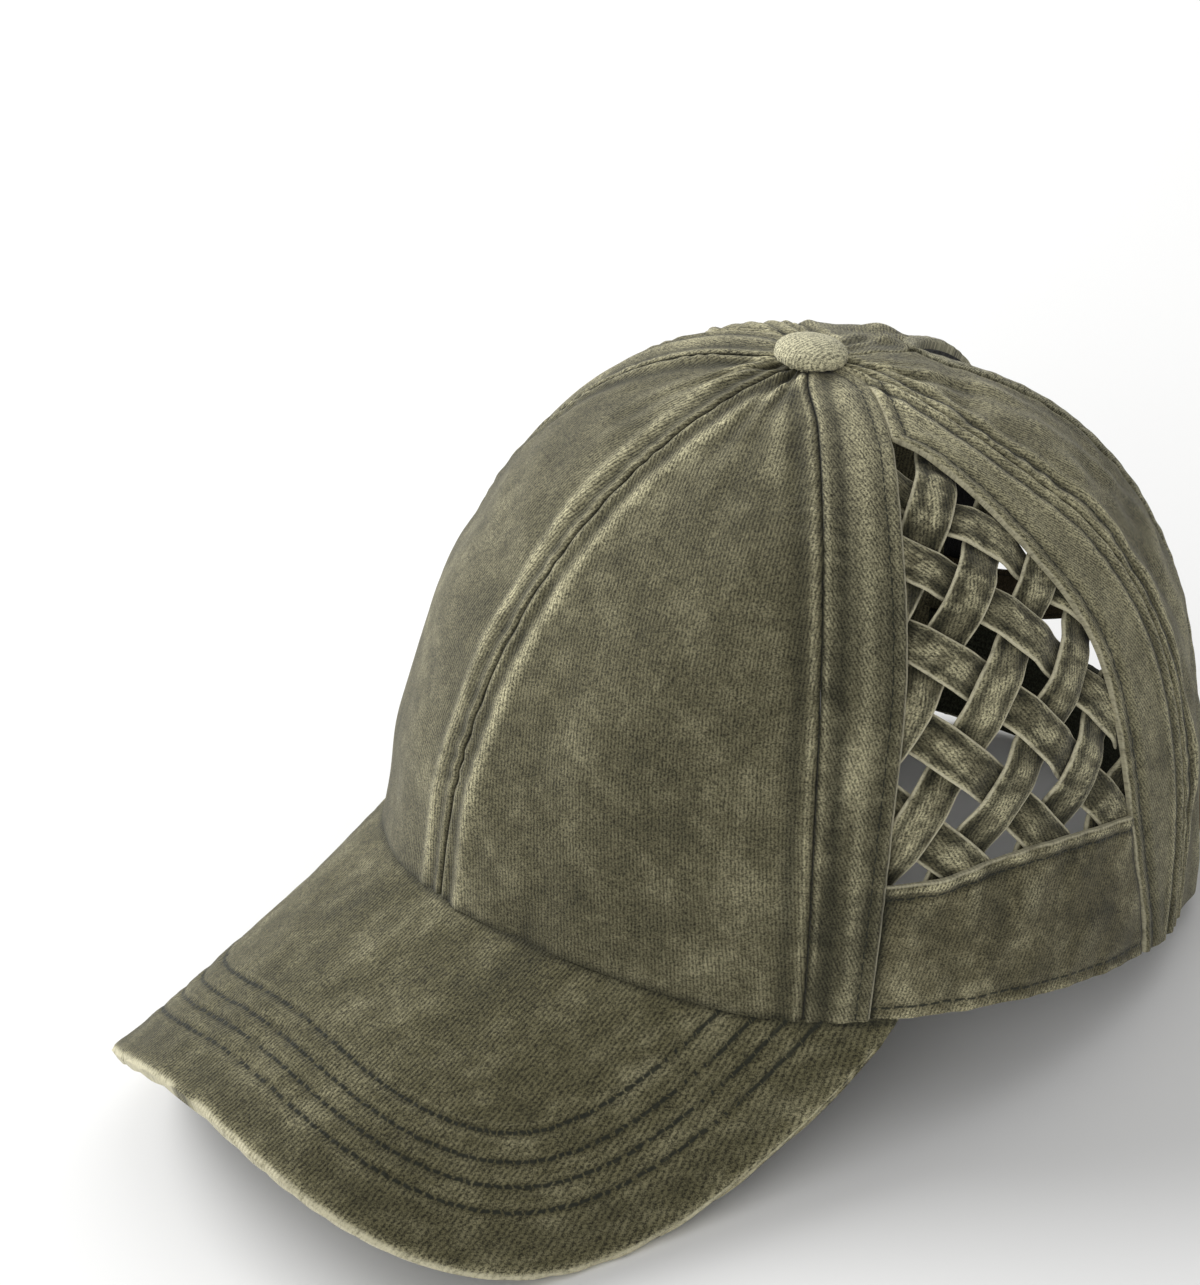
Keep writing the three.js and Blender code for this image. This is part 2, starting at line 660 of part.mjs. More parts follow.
const tabLoop = (() => {
  const outerLeg = cloth.layerGap + tab.thickness * 1.5 + tab.legGap;
  const innerLeg = cloth.layerGap + tab.thickness / 2;
  const radius = (outerLeg - innerLeg) / 2;
  const centre = (outerLeg + innerLeg) / 2;
  const path = [{ along: 0.4, out: innerLeg, nx: 0, ny: -1 }, { along: tab.width / 2, out: innerLeg, nx: 0, ny: -1 }];
  for (let k = 0; k <= 8; k += 1) {
    const a = -Math.PI / 2 + Math.PI * k / 8;
    path.push({ along: tab.width - radius - tab.thickness / 2 + radius * Math.cos(a),
      out: centre + radius * Math.sin(a), nx: Math.cos(a), ny: Math.sin(a) });
  }
  path.push({ along: tab.width / 2, out: outerLeg, nx: 0, ny: 1 }, { along: 0.4, out: outerLeg, nx: 0, ny: 1 });
  return path;
})();
solid('leather_tab', colours.leather, tabLoop.length - 1, 2, (u, v, face, i) => {
  const p = tabLoop[i];
  const side = face ? -tab.thickness / 2 : tab.thickness / 2;
  const share = shareOfHeight(mix(tab.bottom, tab.top, v));
  const step = crownPoint(strapFrom + 0.5, share).distanceTo(crownPoint(strapFrom - 0.5, share));
  const along = p.along + p.nx * side;
  return skin(strapFrom + along / step, share, -(p.out + p.ny * side));
}, 0.7);

// Covered button with its stem

const stemRadius = cloth.buttonHole - button.stemGap;
const seat = cloth.layerGap;
const domePoints = [new THREE.Vector2(0, -cloth.thickness), new THREE.Vector2(stemRadius, -cloth.thickness),
  new THREE.Vector2(stemRadius, seat), new THREE.Vector2(button.radius - 0.5, seat),
  new THREE.Vector2(button.radius, seat + 0.6), new THREE.Vector2(button.radius, seat + button.rim)];
for (let k = 1; k < 5; k += 1) {
  const a = (k / 5) * Math.PI / 2;
  domePoints.push(new THREE.Vector2(button.radius * Math.cos(a),
    seat + button.rim + (button.dome - button.rim) * Math.sin(a)));
}
domePoints.push(new THREE.Vector2(0, seat + button.dome));
const buttonShape = new THREE.LatheGeometry(domePoints, 24);
buttonShape.rotateX(Math.PI / 2);
buttonShape.translate(0, -crown.apexBack, crown.height);
addGeometry('button', colours.button, buttonShape, 0.92);

// Lay the cap down on the low corners of the brim and the back of the strap

function lowest(tilt, front) {
  let low = Infinity;
  for (const mesh of group.children) {
    const p = mesh.geometry.attributes.position;
    for (let i = 0; i < p.count; i += 1) {
      const y = p.getY(i);
      if ((y < 0) === front) low = Math.min(low, p.getZ(i) * Math.cos(tilt) - y * Math.sin(tilt));
    }
  }
  return low;
}

let shallow = 0;
let steep = 30 * DEG;
for (let k = 0; k < 40; k += 1) {
  const tilt = (shallow + steep) / 2;
  if (lowest(tilt, true) < lowest(tilt, false)) shallow = tilt;
  else steep = tilt;
}
const rest = new THREE.Matrix4().makeRotationX(-steep);
const box = new THREE.Box3();
for (const mesh of group.children) {
  mesh.geometry.applyMatrix4(rest);
  mesh.geometry.computeBoundingBox();
  box.union(mesh.geometry.boundingBox);
}
const centre = box.getCenter(new THREE.Vector3());
for (const mesh of group.children) mesh.geometry.translate(-centre.x, -centre.y, -box.min.z);

export default group;
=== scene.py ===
import json
import bmesh
import bpy
import numpy as np
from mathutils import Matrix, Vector


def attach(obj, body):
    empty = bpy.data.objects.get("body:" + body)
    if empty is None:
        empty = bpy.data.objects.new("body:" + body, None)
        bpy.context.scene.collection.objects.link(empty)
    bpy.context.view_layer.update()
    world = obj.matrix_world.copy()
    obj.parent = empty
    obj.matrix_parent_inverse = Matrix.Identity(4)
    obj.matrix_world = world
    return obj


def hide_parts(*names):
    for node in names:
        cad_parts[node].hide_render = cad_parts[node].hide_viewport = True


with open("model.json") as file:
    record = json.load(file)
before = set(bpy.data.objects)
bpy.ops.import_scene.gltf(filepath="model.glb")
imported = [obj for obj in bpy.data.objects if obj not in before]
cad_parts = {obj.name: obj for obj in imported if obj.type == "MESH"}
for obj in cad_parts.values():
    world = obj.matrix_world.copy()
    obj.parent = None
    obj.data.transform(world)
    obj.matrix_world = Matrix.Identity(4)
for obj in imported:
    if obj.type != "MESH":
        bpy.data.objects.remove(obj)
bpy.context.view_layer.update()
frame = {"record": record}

# The cap is worked out in its own frame, in millimetres: rim at z = 0, brim towards -Y.
# The flat edge of the rim, which the record holds as a mount, says how that frame is tilted at rest.
crown = {"halfWidth": 88, "frontLength": 94.8, "backLength": 90.4, "height": 116.4, "apexForward": 8.9,
         "frontBulge": 1.28, "sideBulge": 0.84, "backBulge": 0.74, "rise": 0.79, "frontRound": 1.893,
         "backRound": 2.066, "buttonHole": 5.8, "archFade": 0.35, "rimEdge": (59.2, 67.35, 0.0)}
topLevel, blendLevel = 0.97, 0.85

rimMount = frame["record"]["mounts"][0]
tilt = np.arctan2(-rimMount["axis"][1], -rimMount["axis"][2])
restTurn = np.array([[1, 0, 0], [0, np.cos(tilt), np.sin(tilt)], [0, -np.sin(tilt), np.cos(tilt)]])
restShift = np.array(rimMount["pos_m"]) * 1000 - restTurn @ np.array(crown["rimEdge"])


def toRow(points):
    return (np.asarray(points) @ restTurn.T + restShift) / 1000


# Smooth curves through short tables, as on a paper pattern

def patternCurve(table):
    x = np.array([row[0] for row in table], float)
    y = np.array([row[1] for row in table], float)
    slope = np.diff(y) / np.diff(x)
    tangent = np.zeros(len(x))
    tangent[0], tangent[-1] = slope[0], slope[-1]
    for i, (before, after) in enumerate(zip(slope[:-1], slope[1:]), 1):
        tangent[i] = 0 if before * after <= 0 else 2 * before * after / (before + after)

    def at(value):
        v = np.clip(value, x[0], x[-1])
        i = np.clip(np.searchsorted(x, v, side="right") - 1, 0, len(x) - 2)
        w = x[i + 1] - x[i]
        s = (v - x[i]) / w
        return ((1 + 2 * s) * (1 - s) ** 2 * y[i] + s * (1 - s) ** 2 * w * tangent[i]
                + s * s * (3 - 2 * s) * y[i + 1] + s * s * (s - 1) * w * tangent[i + 1])
    return at


# Seams: share of the way up, angle from the front in degrees
frontSeam = patternCurve([(0, 57.3), (0.2, 56.2), (0.79, 54.9), (0.93, 48.3), (0.97, 46)])
stripSeam = patternCurve([(0, 66), (0.175, 66.8), (0.339, 68.6), (0.548, 71), (0.655, 73.5), (0.788, 80.1),
                          (0.856, 86.5), (0.932, 103), (0.97, 112)])
latticeSeam = patternCurve([(0, 114.3), (0.089, 109.3), (0.188, 107), (0.354, 105.5), (0.44, 103.2),
                            (0.533, 99), (0.622, 95), (0.701, 91), (0.754, 86.6), (0.788, 80.1)])
backSeam = patternCurve([(0, 124.5), (0.32, 123.4), (0.528, 119.5), (0.68, 112.5), (0.78, 110.5),
                         (0.884, 113.5), (0.952, 122), (0.97, 126)])
openingSeam = patternCurve([(0, 152.6), (0.27, 154.8), (0.48, 158), (0.69, 162), (0.8, 166), (0.845, 171),
                            (0.868, 178), (0.875, 180), (0.97, 180)])
# Edges of the rim and band: angle from the front, height in millimetres
bandTop = patternCurve([(60, 29), (73.7, 30.7), (80.3, 33.2), (87.8, 35.1), (96.8, 35.8), (112, 35.2)])
rimArch = patternCurve([(0, 4.2), (25, 2.4), (57, -2.6), (75, -1), (88, 0), (180, 0)])
# Each soft dent: angle, share, width, height and depth
softDents = [(26, 0.88, 14, 0.1, 0.8), (34, 0.12, 16, 0.1, 0.7), (140, 0.3, 7, 0.16, 1.2),
             (132, 0.55, 6, 0.12, 0.9), (148, 0.6, 6, 0.14, 0.9)]
backCornerShare = 0.788


def smoothStep(s):
    s = np.clip(s, 0, 1)
    return s * s * (3 - 2 * s)


def signedPower(v, p):
    return np.sign(v) * np.abs(v) ** p


def foldAngle(angle):
    a = np.abs(np.mod(angle, 360))
    return np.where(a > 180, 360 - a, a)


def bulgeAt(angle):
    c = np.cos(np.radians(angle))
    end = np.where(c > 0, crown["frontBulge"], crown["backBulge"])
    return crown["sideBulge"] + (end - crown["sideBulge"]) * c * c


def rimPoint(angle):
    s, c = np.sin(np.radians(angle)), np.cos(np.radians(angle))
    n = np.where(c > 0, crown["frontRound"], crown["backRound"])
    length = np.where(c > 0, crown["frontLength"], crown["backLength"])
    return crown["halfWidth"] * signedPower(s, 2 / n), -length * signedPower(c, 2 / n)


def crownPoint(angle, share):
    angle, share = np.broadcast_arrays(np.asarray(angle, float), np.asarray(share, float))
    phi = np.clip(share, 0, 1) * np.pi / 2
    x, y = rimPoint(angle)
    r = np.cos(phi) ** bulgeAt(angle)
    arch = rimArch(foldAngle(angle)) * (1 - np.clip(share / crown["archFade"], 0, 1)) ** 2
    z = crown["height"] * np.sin(phi) ** crown["rise"] + arch
    return np.stack([x * r, y * r - crown["apexForward"] * (1 - r), z], -1)


def unit(v):
    return v / np.maximum(np.linalg.norm(v, axis=-1, keepdims=True), 1e-9)


def crownNormal(angle, share):
    t = np.clip(share, 0.002, 0.985)
    across = crownPoint(angle + 0.05, t) - crownPoint(angle - 0.05, t)
    up = crownPoint(angle, t + 0.001) - crownPoint(angle, t - 0.001)
    return unit(np.cross(across, up))


def dentDepth(angle, share):
    a = foldAngle(angle)
    return sum(depth * np.exp(-((a - where) / wide) ** 2 - ((share - height) / tall) ** 2)
               for where, height, wide, tall, depth in softDents)


def skin(angle, share, depth):
    inward = depth + dentDepth(angle, share)
    return crownPoint(angle, share) - crownNormal(angle, share) * np.asarray(inward)[..., None]


def topShare(angle):
    x, y = rimPoint(angle)
    return np.arccos((crown["buttonHole"] / np.hypot(x, y)) ** (1 / bulgeAt(angle))) / (np.pi / 2)


def shareAt(angle, level):
    stretch = (topShare(angle) - blendLevel) / (topLevel - blendLevel)
    return np.where(level <= blendLevel, level, blendLevel + (level - blendLevel) * stretch)


def shareOfHeight(z):
    part = np.clip(np.asarray(z, float) / crown["height"], 0, 1)
    return np.arcsin(part ** (1 / crown["rise"])) / (np.pi / 2)


def beside(seam, level, distance):
    # The angle at this distance in millimetres from a seam, measured square to it
    level = np.asarray(level, float)
    low, high = np.clip(level - 0.002, 0, topLevel), np.clip(level + 0.002, 0, topLevel)
    along = (crownPoint(seam(high), shareAt(seam(high), high))
             - crownPoint(seam(low), shareAt(seam(low), low)))
    angle = seam(level)
    share = shareAt(angle, level)
    turn = crownPoint(angle + 0.5, share) - crownPoint(angle - 0.5, share)
    side = unit(np.cross(crownNormal(angle, share), along))
    return angle + distance / np.maximum(np.abs(np.sum(turn * side, -1)), 0.02)


# Slow, seeded ripples used for creases and gathers

waves = {"count": 9, "paces": (0.6, 1.7), "starts": (0, 6.28), "strengths": (0.5, 1), "scale": 3.2}


def ripple(points, size, seed, stretch=(1, 1, 1)):
    rng = np.random.default_rng(seed)
    total = np.zeros(points.shape[:-1])
    for _ in range(waves["count"]):
        direction = rng.normal(size=3)
        direction = direction / np.linalg.norm(direction) * np.array(stretch)
        pace = 2 * np.pi / size * rng.uniform(*waves["paces"])
        wave = np.sin(points @ direction * pace + rng.uniform(*waves["starts"]))
        total = total + wave * rng.uniform(*waves["strengths"])
    return total / waves["scale"]


# Meshes: an outer and an inner sheet joined round the edge, with distances to the seams kept on each point

def addObject(name, data):
    item = bpy.data.objects.new(name, data)
    bpy.context.collection.objects.link(item)
    return item


def turnOutward(mesh):
    work = bmesh.new()
    work.from_mesh(mesh)
    bmesh.ops.recalc_face_normals(work, faces=work.faces)
    work.to_mesh(mesh)
    work.free()


def finishMesh(name, node, material, points, faces, marks, sharpAngle=0.9):
    mesh = bpy.data.meshes.new(name)
    mesh.from_pydata([tuple(p) for p in points], [], faces)
    for key, value in marks.items():
        mark = mesh.attributes.new(key, "FLOAT_VECTOR", "POINT")
        mark.data.foreach_set("vector", np.asarray(value, np.float32).ravel())
    mesh.polygons.foreach_set("use_smooth", [True] * len(mesh.polygons))
    piece = addObject(name, mesh)
    turnOutward(mesh)
    mesh.set_sharp_from_angle(angle=sharpAngle)
    mesh.materials.append(material)
    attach(piece, "root")
    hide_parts(node)


def sewMesh(name, node, slotName, material, outer, inner, marks):
    rows, columns = outer.shape[:2]
    lastRow, lastColumn = rows - 1, columns - 1
    points = toRow(np.concatenate([outer.reshape(-1, 3), inner.reshape(-1, 3)]))
    faces = []

    def at(i, j, side):
        return side * rows * columns + j * columns + i

    for j in range(lastRow):
        for i in range(lastColumn):
            faces.append((at(i, j, 0), at(i + 1, j, 0), at(i + 1, j + 1, 0), at(i, j + 1, 0)))
            faces.append((at(i, j + 1, 1), at(i + 1, j + 1, 1), at(i + 1, j, 1), at(i, j, 1)))
        for i, near, far in ((0, 1, 0), (lastColumn, 0, 1)):
            faces.append((at(i, j, near), at(i, j, far), at(i, j + 1, far), at(i, j + 1, near)))
    for i in range(lastColumn):
        for j, near, far in ((0, 0, 1), (lastRow, 1, 0)):
            faces.append((at(i, j, near), at(i, j, far), at(i + 1, j, far), at(i + 1, j, near)))
    finishMesh(name, node, material, points, faces,
               {key: np.concatenate([value.reshape(-1, 3)] * 2) for key, value in marks.items()})


def lengthsAcross(grid, axis):
    step = np.linalg.norm(np.diff(grid, axis=axis), axis=-1)
    start = np.zeros_like(np.take(step, [0], axis=axis))
    return np.concatenate([start, np.cumsum(step, axis=axis)], axis=axis)


def stacked(*values):
    return np.stack(np.broadcast_arrays(*values), -1)


def edgeMarks(base):
    fromEdge = lengthsAcross(base, 1)
    along = lengthsAcross(base, 0)
    fullWidth = fromEdge[:, -1:]
    return {"seams": stacked(fromEdge, fullWidth - fromEdge, along),
            "cloth": stacked(fromEdge - fullWidth / 2, along, base[..., 2]),
            "wearAndPaintedLight": stacked(0.0, along[-1:] - along, 0.0)}


def sidesOf(marks):
    fromEdge, toEdge, along = np.moveaxis(marks["seams"], -1, 0)
    return {"from": fromEdge, "to": toEdge, "along": along, "top": along[-1:] - along}


# Materials: short names for the shader nodes in use

def newGroup(name, inputs, outputs):
    group = bpy.data.node_groups.new(name, "ShaderNodeTree")
    for label, kind, value in inputs:
        socket = group.interface.new_socket(label, in_out="INPUT", socket_type="NodeSocket" + kind)
        socket.default_value = value
    for label, kind in outputs:
        group.interface.new_socket(label, in_out="OUTPUT", socket_type="NodeSocket" + kind)
    return group, group.nodes.new("NodeGroupInput").outputs, group.nodes.new("NodeGroupOutput").inputs


def plug(tree, value, socket):
    if isinstance(value, bpy.types.NodeSocket):
        tree.links.new(value, socket)
    else:
        socket.default_value = value


def addNode(tree, kind, inputs=(), **settings):
    node = tree.nodes.new("ShaderNode" + kind)
    for key, value in settings.items():
        setattr(node, key, value)
    for key, value in inputs:
        plug(tree, value, node.inputs[key])
    return node.outputs


def compute(tree, kind, *values):
    return addNode(tree, "Math", enumerate(values), operation=kind)[0]


def times(tree, result, *others):
    for value in others:
        result = compute(tree, "MULTIPLY", result, value)
    return result


def plus(tree, result, *others):
    for value in others:
        result = compute(tree, "ADD", result, value)
    return result


def minus(tree, a, b):
    return compute(tree, "SUBTRACT", a, b)


def weighted(tree, *pairs):
    return plus(tree, *(times(tree, value, share) for value, share in pairs))


def gapTo(tree, value, place):
    return compute(tree, "ABSOLUTE", minus(tree, value, place))


def ramp(tree, *limits):
    return addNode(tree, "MapRange", enumerate(limits), interpolation_type="SMOOTHSTEP")[0]


def blendColour(tree, share, a, b, kind="MIX"):
    return addNode(tree, "Mix", ((0, share), (6, a), (7, b)), data_type="RGBA", blend_type=kind)[2]


def noise(tree, vector, scale, detail, rough=0.5):
    settings = {"Vector": vector, "Scale": scale, "Detail": detail, "Roughness": rough}
    return addNode(tree, "TexNoise", settings.items())[0]


def scaled(tree, vector, factor):
    return addNode(tree, "VectorMath", enumerate((vector, factor)), operation="MULTIPLY")[0]


def parts(tree, vector):
    return addNode(tree, "SeparateXYZ", [(0, vector)])


def attribute(tree, name):
    return addNode(tree, "Attribute", attribute_name=name)["Vector"]


def placeInMillimetres(tree):
    return scaled(tree, addNode(tree, "TexCoord")["Object"], (1000, 1000, 1000))


def useGroup(tree, group, **values):
    return addNode(tree, "Group", ((key.replace("_", " "), value) for key, value in values.items()),
                   node_tree=group)


def newMaterial(name):
    material = bpy.data.materials.new(name)
    material.use_nodes = True
    return material, material.node_tree, material.node_tree.nodes["Principled BSDF"].inputs


def finishShader(tree, shader, colour, roughness, height, strength, distance):
    relief = addNode(tree, "Bump", {"Strength": strength, "Distance": distance, "Height": height}.items())
    for label, value in (("Base Color", colour), ("Roughness", roughness), ("Normal", relief[0])):
        plug(tree, value, shader[label])


# Shared effects. Each noise is given as scale, detail and roughness; each ramp as low, high, start, end.

# The faded colour serves both sun-faded cloth and painted highlight; the deep colour serves both darker dye
# and painted shade.
dyes = {
    "base": (0.112, 0.102, 0.057, 1), "fadedAndLit": (0.42, 0.39, 0.245, 1), "deep": (0.024, 0.023, 0.012, 1),
    "thread": (0.016, 0.018, 0.012, 1), "cream": (0.6, 0.56, 0.39, 1)}
twill = {
    "drift": (0.25, 2), "driftWidth": 0.7, "grain": (2.1, 2, 0.75), "grainStretch": (1.0, 0.4, 1.0),
    "fine": (3.1, 2, 0.75), "ribHeight": 0.4, "fineHeight": 0.9, "grainShare": 0.55, "fineShare": 0.45,
    "ribShare": 0.04}
# The pale-yarn ramp and its share also lay on painted highlight; the dark share sets how much painted shade
# is laid on.
dyeAndShade = {
    "broad": (0.028, 2, 0.5), "middle": (0.085, 3, 0.6), "streaks": (0.24, 3, 0.6),
    "streakStretch": (1.0, 0.18, 1.0), "shares": (0.36, 0.34, 0.3), "pale": (0.46, 0.8), "paleShare": 0.5,
    "low": (0.53, 0.28), "lowShare": 0.7, "paleYarn": (0.3, 0.62, 0.45, 1.0), "wearAndLightShare": 0.85,
    "darkShare": 0.8, "yarnTone": (0.36, 0.64, 0.3, 1.95)}
stitch = {
    "sway": (0.3, 1), "swayWidth": 0.9, "lineEdges": (1.5, 0.5), "dash": (0.43, 0.31), "grooveReach": 1.7,
    "shoulderWidth": 1.0}


def makeTwill():
    # Diagonal ribs of washed twill, with the speckle of worn yarn
    group, source, sink = newGroup("twillWeave", [
        ("Cloth", "Vector", (0, 0, 0)), ("Rib Pitch", "Float", 0.9), ("Slant", "Float", 0.6)],
        [("Height", "Float"), ("Speckle", "Float")])
    cloth = source["Cloth"]
    across, along, _ = parts(group, cloth)
    drift = times(group, noise(group, cloth, *twill["drift"]), twill["driftWidth"])
    lane = plus(group, across, times(group, along, source["Slant"]), drift)
    turn = compute(group, "DIVIDE", times(group, lane, 2 * np.pi), source["Rib Pitch"])
    ribs = compute(group, "SINE", turn)
    grain = noise(group, scaled(group, cloth, twill["grainStretch"]), *twill["grain"])
    fine = noise(group, cloth, *twill["fine"])
    plug(group, weighted(group, (ribs, twill["ribHeight"]), (fine, twill["fineHeight"])), sink["Height"])
    speckle = zip((grain, fine, ribs), (twill[key] for key in ("grainShare", "fineShare", "ribShare")))
    plug(group, weighted(group, *speckle), sink["Speckle"])
    return group


def makeDyeWearAndShade():
    # Garment-dyed colour: broad worn patches, streaks down the cloth, speckle; wear and painted highlight
    # blended to the faded colour, painted shade from the dark input blended to the deep colour
    group, source, sink = newGroup("dyeWearAndShade", [
        ("Cloth", "Vector", (0, 0, 0)), ("Place", "Vector", (0, 0, 0)), ("Base", "Color", dyes["base"]),
        ("Faded", "Color", dyes["fadedAndLit"]), ("Deep", "Color", dyes["deep"]), ("Speckle", "Float", 0.5),
        ("Wear", "Float", 0.0), ("Dark", "Float", 0.0), ("Patches", "Float", 1.0)], [("Color", "Color")])
    layers = [noise(group, source["Place"], *dyeAndShade["broad"]), noise(group, source["Place"], *dyeAndShade["middle"]),
              noise(group, scaled(group, source["Cloth"], dyeAndShade["streakStretch"]), *dyeAndShade["streaks"])]
    patch = weighted(group, *zip(layers, dyeAndShade["shares"]))
    pale = times(group, ramp(group, patch, *dyeAndShade["pale"]), source["Patches"], dyeAndShade["paleShare"])
    low = times(group, ramp(group, patch, *dyeAndShade["low"]), source["Patches"], dyeAndShade["lowShare"])
    wearAndPaintedLight = times(group, source["Wear"], ramp(group, source["Speckle"], *dyeAndShade["paleYarn"]), dyeAndShade["wearAndLightShare"])
    colour = blendColour(group, pale, source["Base"], source["Faded"])
    colour = blendColour(group, low, colour, source["Deep"])
    colour = blendColour(group, wearAndPaintedLight, colour, source["Faded"])
    colour = blendColour(group, times(group, source["Dark"], dyeAndShade["darkShare"]), colour, source["Deep"])
    light = ramp(group, source["Speckle"], *dyeAndShade["yarnTone"])
    tone = addNode(group, "CombineColor", enumerate((light, light, light)))[0]
    plug(group, blendColour(group, 1.0, colour, tone, "MULTIPLY"), sink["Color"])
    return group


def makeStitch():
    # One row of thread at a distance from a seam, in the groove that it pulls
    group, source, sink = newGroup("stitchRow", [
        ("Distance", "Float", 0.0), ("Along", "Float", 0.0), ("Offset", "Float", 3.0),
        ("Thread Width", "Float", 0.4), ("Stitch Length", "Float", 3.0)],
        [("Thread", "Float"), ("Groove", "Float"), ("Shoulder", "Float")])
    where = addNode(group, "CombineXYZ", enumerate((source["Distance"], source["Along"])))[0]
    centred = minus(group, noise(group, where, *stitch["sway"]), 0.5)
    sway = times(group, centred, stitch["swayWidth"])
    off = compute(group, "ABSOLUTE", plus(group, minus(group, source["Distance"], source["Offset"]), sway))
    line = ramp(group, off, *(times(group, source["Thread Width"], share) for share in stitch["lineEdges"]))
    beat = compute(group, "FRACT", compute(group, "DIVIDE", source["Along"], source["Stitch Length"]))
    dash = ramp(group, gapTo(group, beat, 0.5), *stitch["dash"])
    plug(group, times(group, line, dash), sink["Thread"])
    plug(group, ramp(group, off, stitch["grooveReach"], 0.0), sink["Groove"])
    shoulder = ramp(group, gapTo(group, off, stitch["grooveReach"]), stitch["shoulderWidth"], 0.0)
    plug(group, shoulder, sink["Shoulder"])
    return group


twillWeave, dyeWearAndShade, stitchRow = makeTwill(), makeDyeWearAndShade(), makeStitch()

# crestPale is wear and painted highlight on relief crests; crestDark and grooveDark are painted shade in
# hollows and stitch grooves; topHeights is where paling from fade and painted light from above ramps in.
wash = {
    "breakNoise": (0.13, 3, 0.7), "breakUp": (0.3, 0.64, 0.12, 1.0), "weaveHeight": 0.3,
    "crestPale": (0.08, 0.8), "crestDark": (-0.05, -0.65), "crestShare": 0.5, "topHeights": (55, 118),
    "grooveDepth": 0.55, "threadHeight": 0.3, "shoulderWear": 0.1, "grooveDark": 0.3, "threadShare": 0.9,
    "creamCore": 0.3, "creamYarn": (0.25, 0.55), "creamLeast": 0.55, "creamNoise": (0.3, 2, 0.6),
    "creamBreak": (0.3, 0.5, 0.5, 1.0), "roughness": (0.3, 0.7, 0.95, 0.82), "reliefDistance": 0.001,
    "sheen": {"Sheen Weight": 0.12, "Sheen Roughness": 0.5, "Specular IOR Level": 0.25}}


# Ridges (pale) and darks say: measured from which edge, offset, width, amount; darks are painted shade
# unless a piece says
# otherwise. Rows of stitches say: edge, offset, thread width, stitch length. Cream, the frayed edges, says:
# edge, width, amount.

def washedCloth(name, base=dyes["base"], fadedAndLit=dyes["fadedAndLit"], deep=dyes["deep"], pitch=0.85, slant=0.15,
                patches=1.0, wear=0.0, crest=1.0, topFadeAndLight=0.0, bump=0.35, ridges=(), darks=(), rows=(),
                cream=()):
    material, tree, shader = newMaterial(name)
    cloth, place = attribute(tree, "cloth"), placeInMillimetres(tree)
    channel = dict(zip(("from", "to", "along"), parts(tree, attribute(tree, "seams"))))
    channel.update(zip(("crest", "top"), parts(tree, attribute(tree, "wearAndPaintedLight"))))
    across, _, level = parts(tree, cloth)
    weave = useGroup(tree, twillWeave, Cloth=cloth, Rib_Pitch=pitch, Slant=slant)
    breakUp = ramp(tree, noise(tree, place, *wash["breakNoise"]), *wash["breakUp"])
    height = times(tree, weave["Height"], wash["weaveHeight"])
    # Relief crests turn paler, partly wear and partly painted highlight; hollows turn darker, which is
    # painted shade
    most = wash["crestShare"] * crest
    wearAndPaintedLight = plus(tree, wear, ramp(tree, channel["crest"], *wash["crestPale"], 0.0, most))
    dark = ramp(tree, channel["crest"], *wash["crestDark"], 0.0, most)
    thread = 0.0
    # Paler towards the top: partly fade, partly painted light from above
    if topFadeAndLight:
        wearAndPaintedLight = plus(tree, wearAndPaintedLight, ramp(tree, level, *wash["topHeights"], 0.0, topFadeAndLight))
    for where, offset, width, amount in ridges:
        mask = ramp(tree, gapTo(tree, channel[where], offset), width, 0.0)
        if offset > 0:
            mask = times(tree, mask, breakUp)
        wearAndPaintedLight = plus(tree, wearAndPaintedLight, times(tree, mask, amount))
    # Painted shade along seams, grooves and hollows
    for where, offset, width, amount in darks:
        mask = ramp(tree, gapTo(tree, channel[where], offset), width, 0.0)
        dark = plus(tree, dark, times(tree, mask, amount))
    for where, offset, width, length in rows:
        run = across if where in ("along", "top") else channel["along"]
        row = useGroup(tree, stitchRow, Distance=channel[where], Along=run, Offset=offset,
                       Thread_Width=width, Stitch_Length=length)
        thread = compute(tree, "MAXIMUM", thread, row["Thread"])
        height = plus(tree, height, times(tree, row["Groove"], -wash["grooveDepth"]),
                      times(tree, row["Thread"], wash["threadHeight"]))
        wearAndPaintedLight = plus(tree, wearAndPaintedLight, times(tree, row["Shoulder"], breakUp, wash["shoulderWear"]))
        # The stitch groove is darkened: painted shade
        dark = compute(tree, "MAXIMUM", dark, times(tree, row["Groove"], wash["grooveDark"]))
    colour = useGroup(tree, dyeWearAndShade, Cloth=cloth, Place=place, Base=base, Faded=fadedAndLit, Deep=deep,
                      Speckle=weave["Speckle"], Wear=wearAndPaintedLight, Dark=dark, Patches=patches)["Color"]
    if rows:
        colour = blendColour(tree, times(tree, thread, wash["threadShare"]), colour, dyes["thread"])
    for where, width, amount in cream:
        edge = times(tree, ramp(tree, channel[where], width, width * wash["creamCore"]),
                     ramp(tree, weave["Speckle"], *wash["creamYarn"], wash["creamLeast"] * amount, amount),
                     ramp(tree, noise(tree, place, *wash["creamNoise"]), *wash["creamBreak"]))
        colour = blendColour(tree, edge, colour, dyes["cream"])
    for label, value in wash["sheen"].items():
        shader[label].default_value = value
    roughness = ramp(tree, weave["Speckle"], *wash["roughness"])
    finishShader(tree, shader, colour, roughness, height, bump, wash["reliefDistance"])
    return material


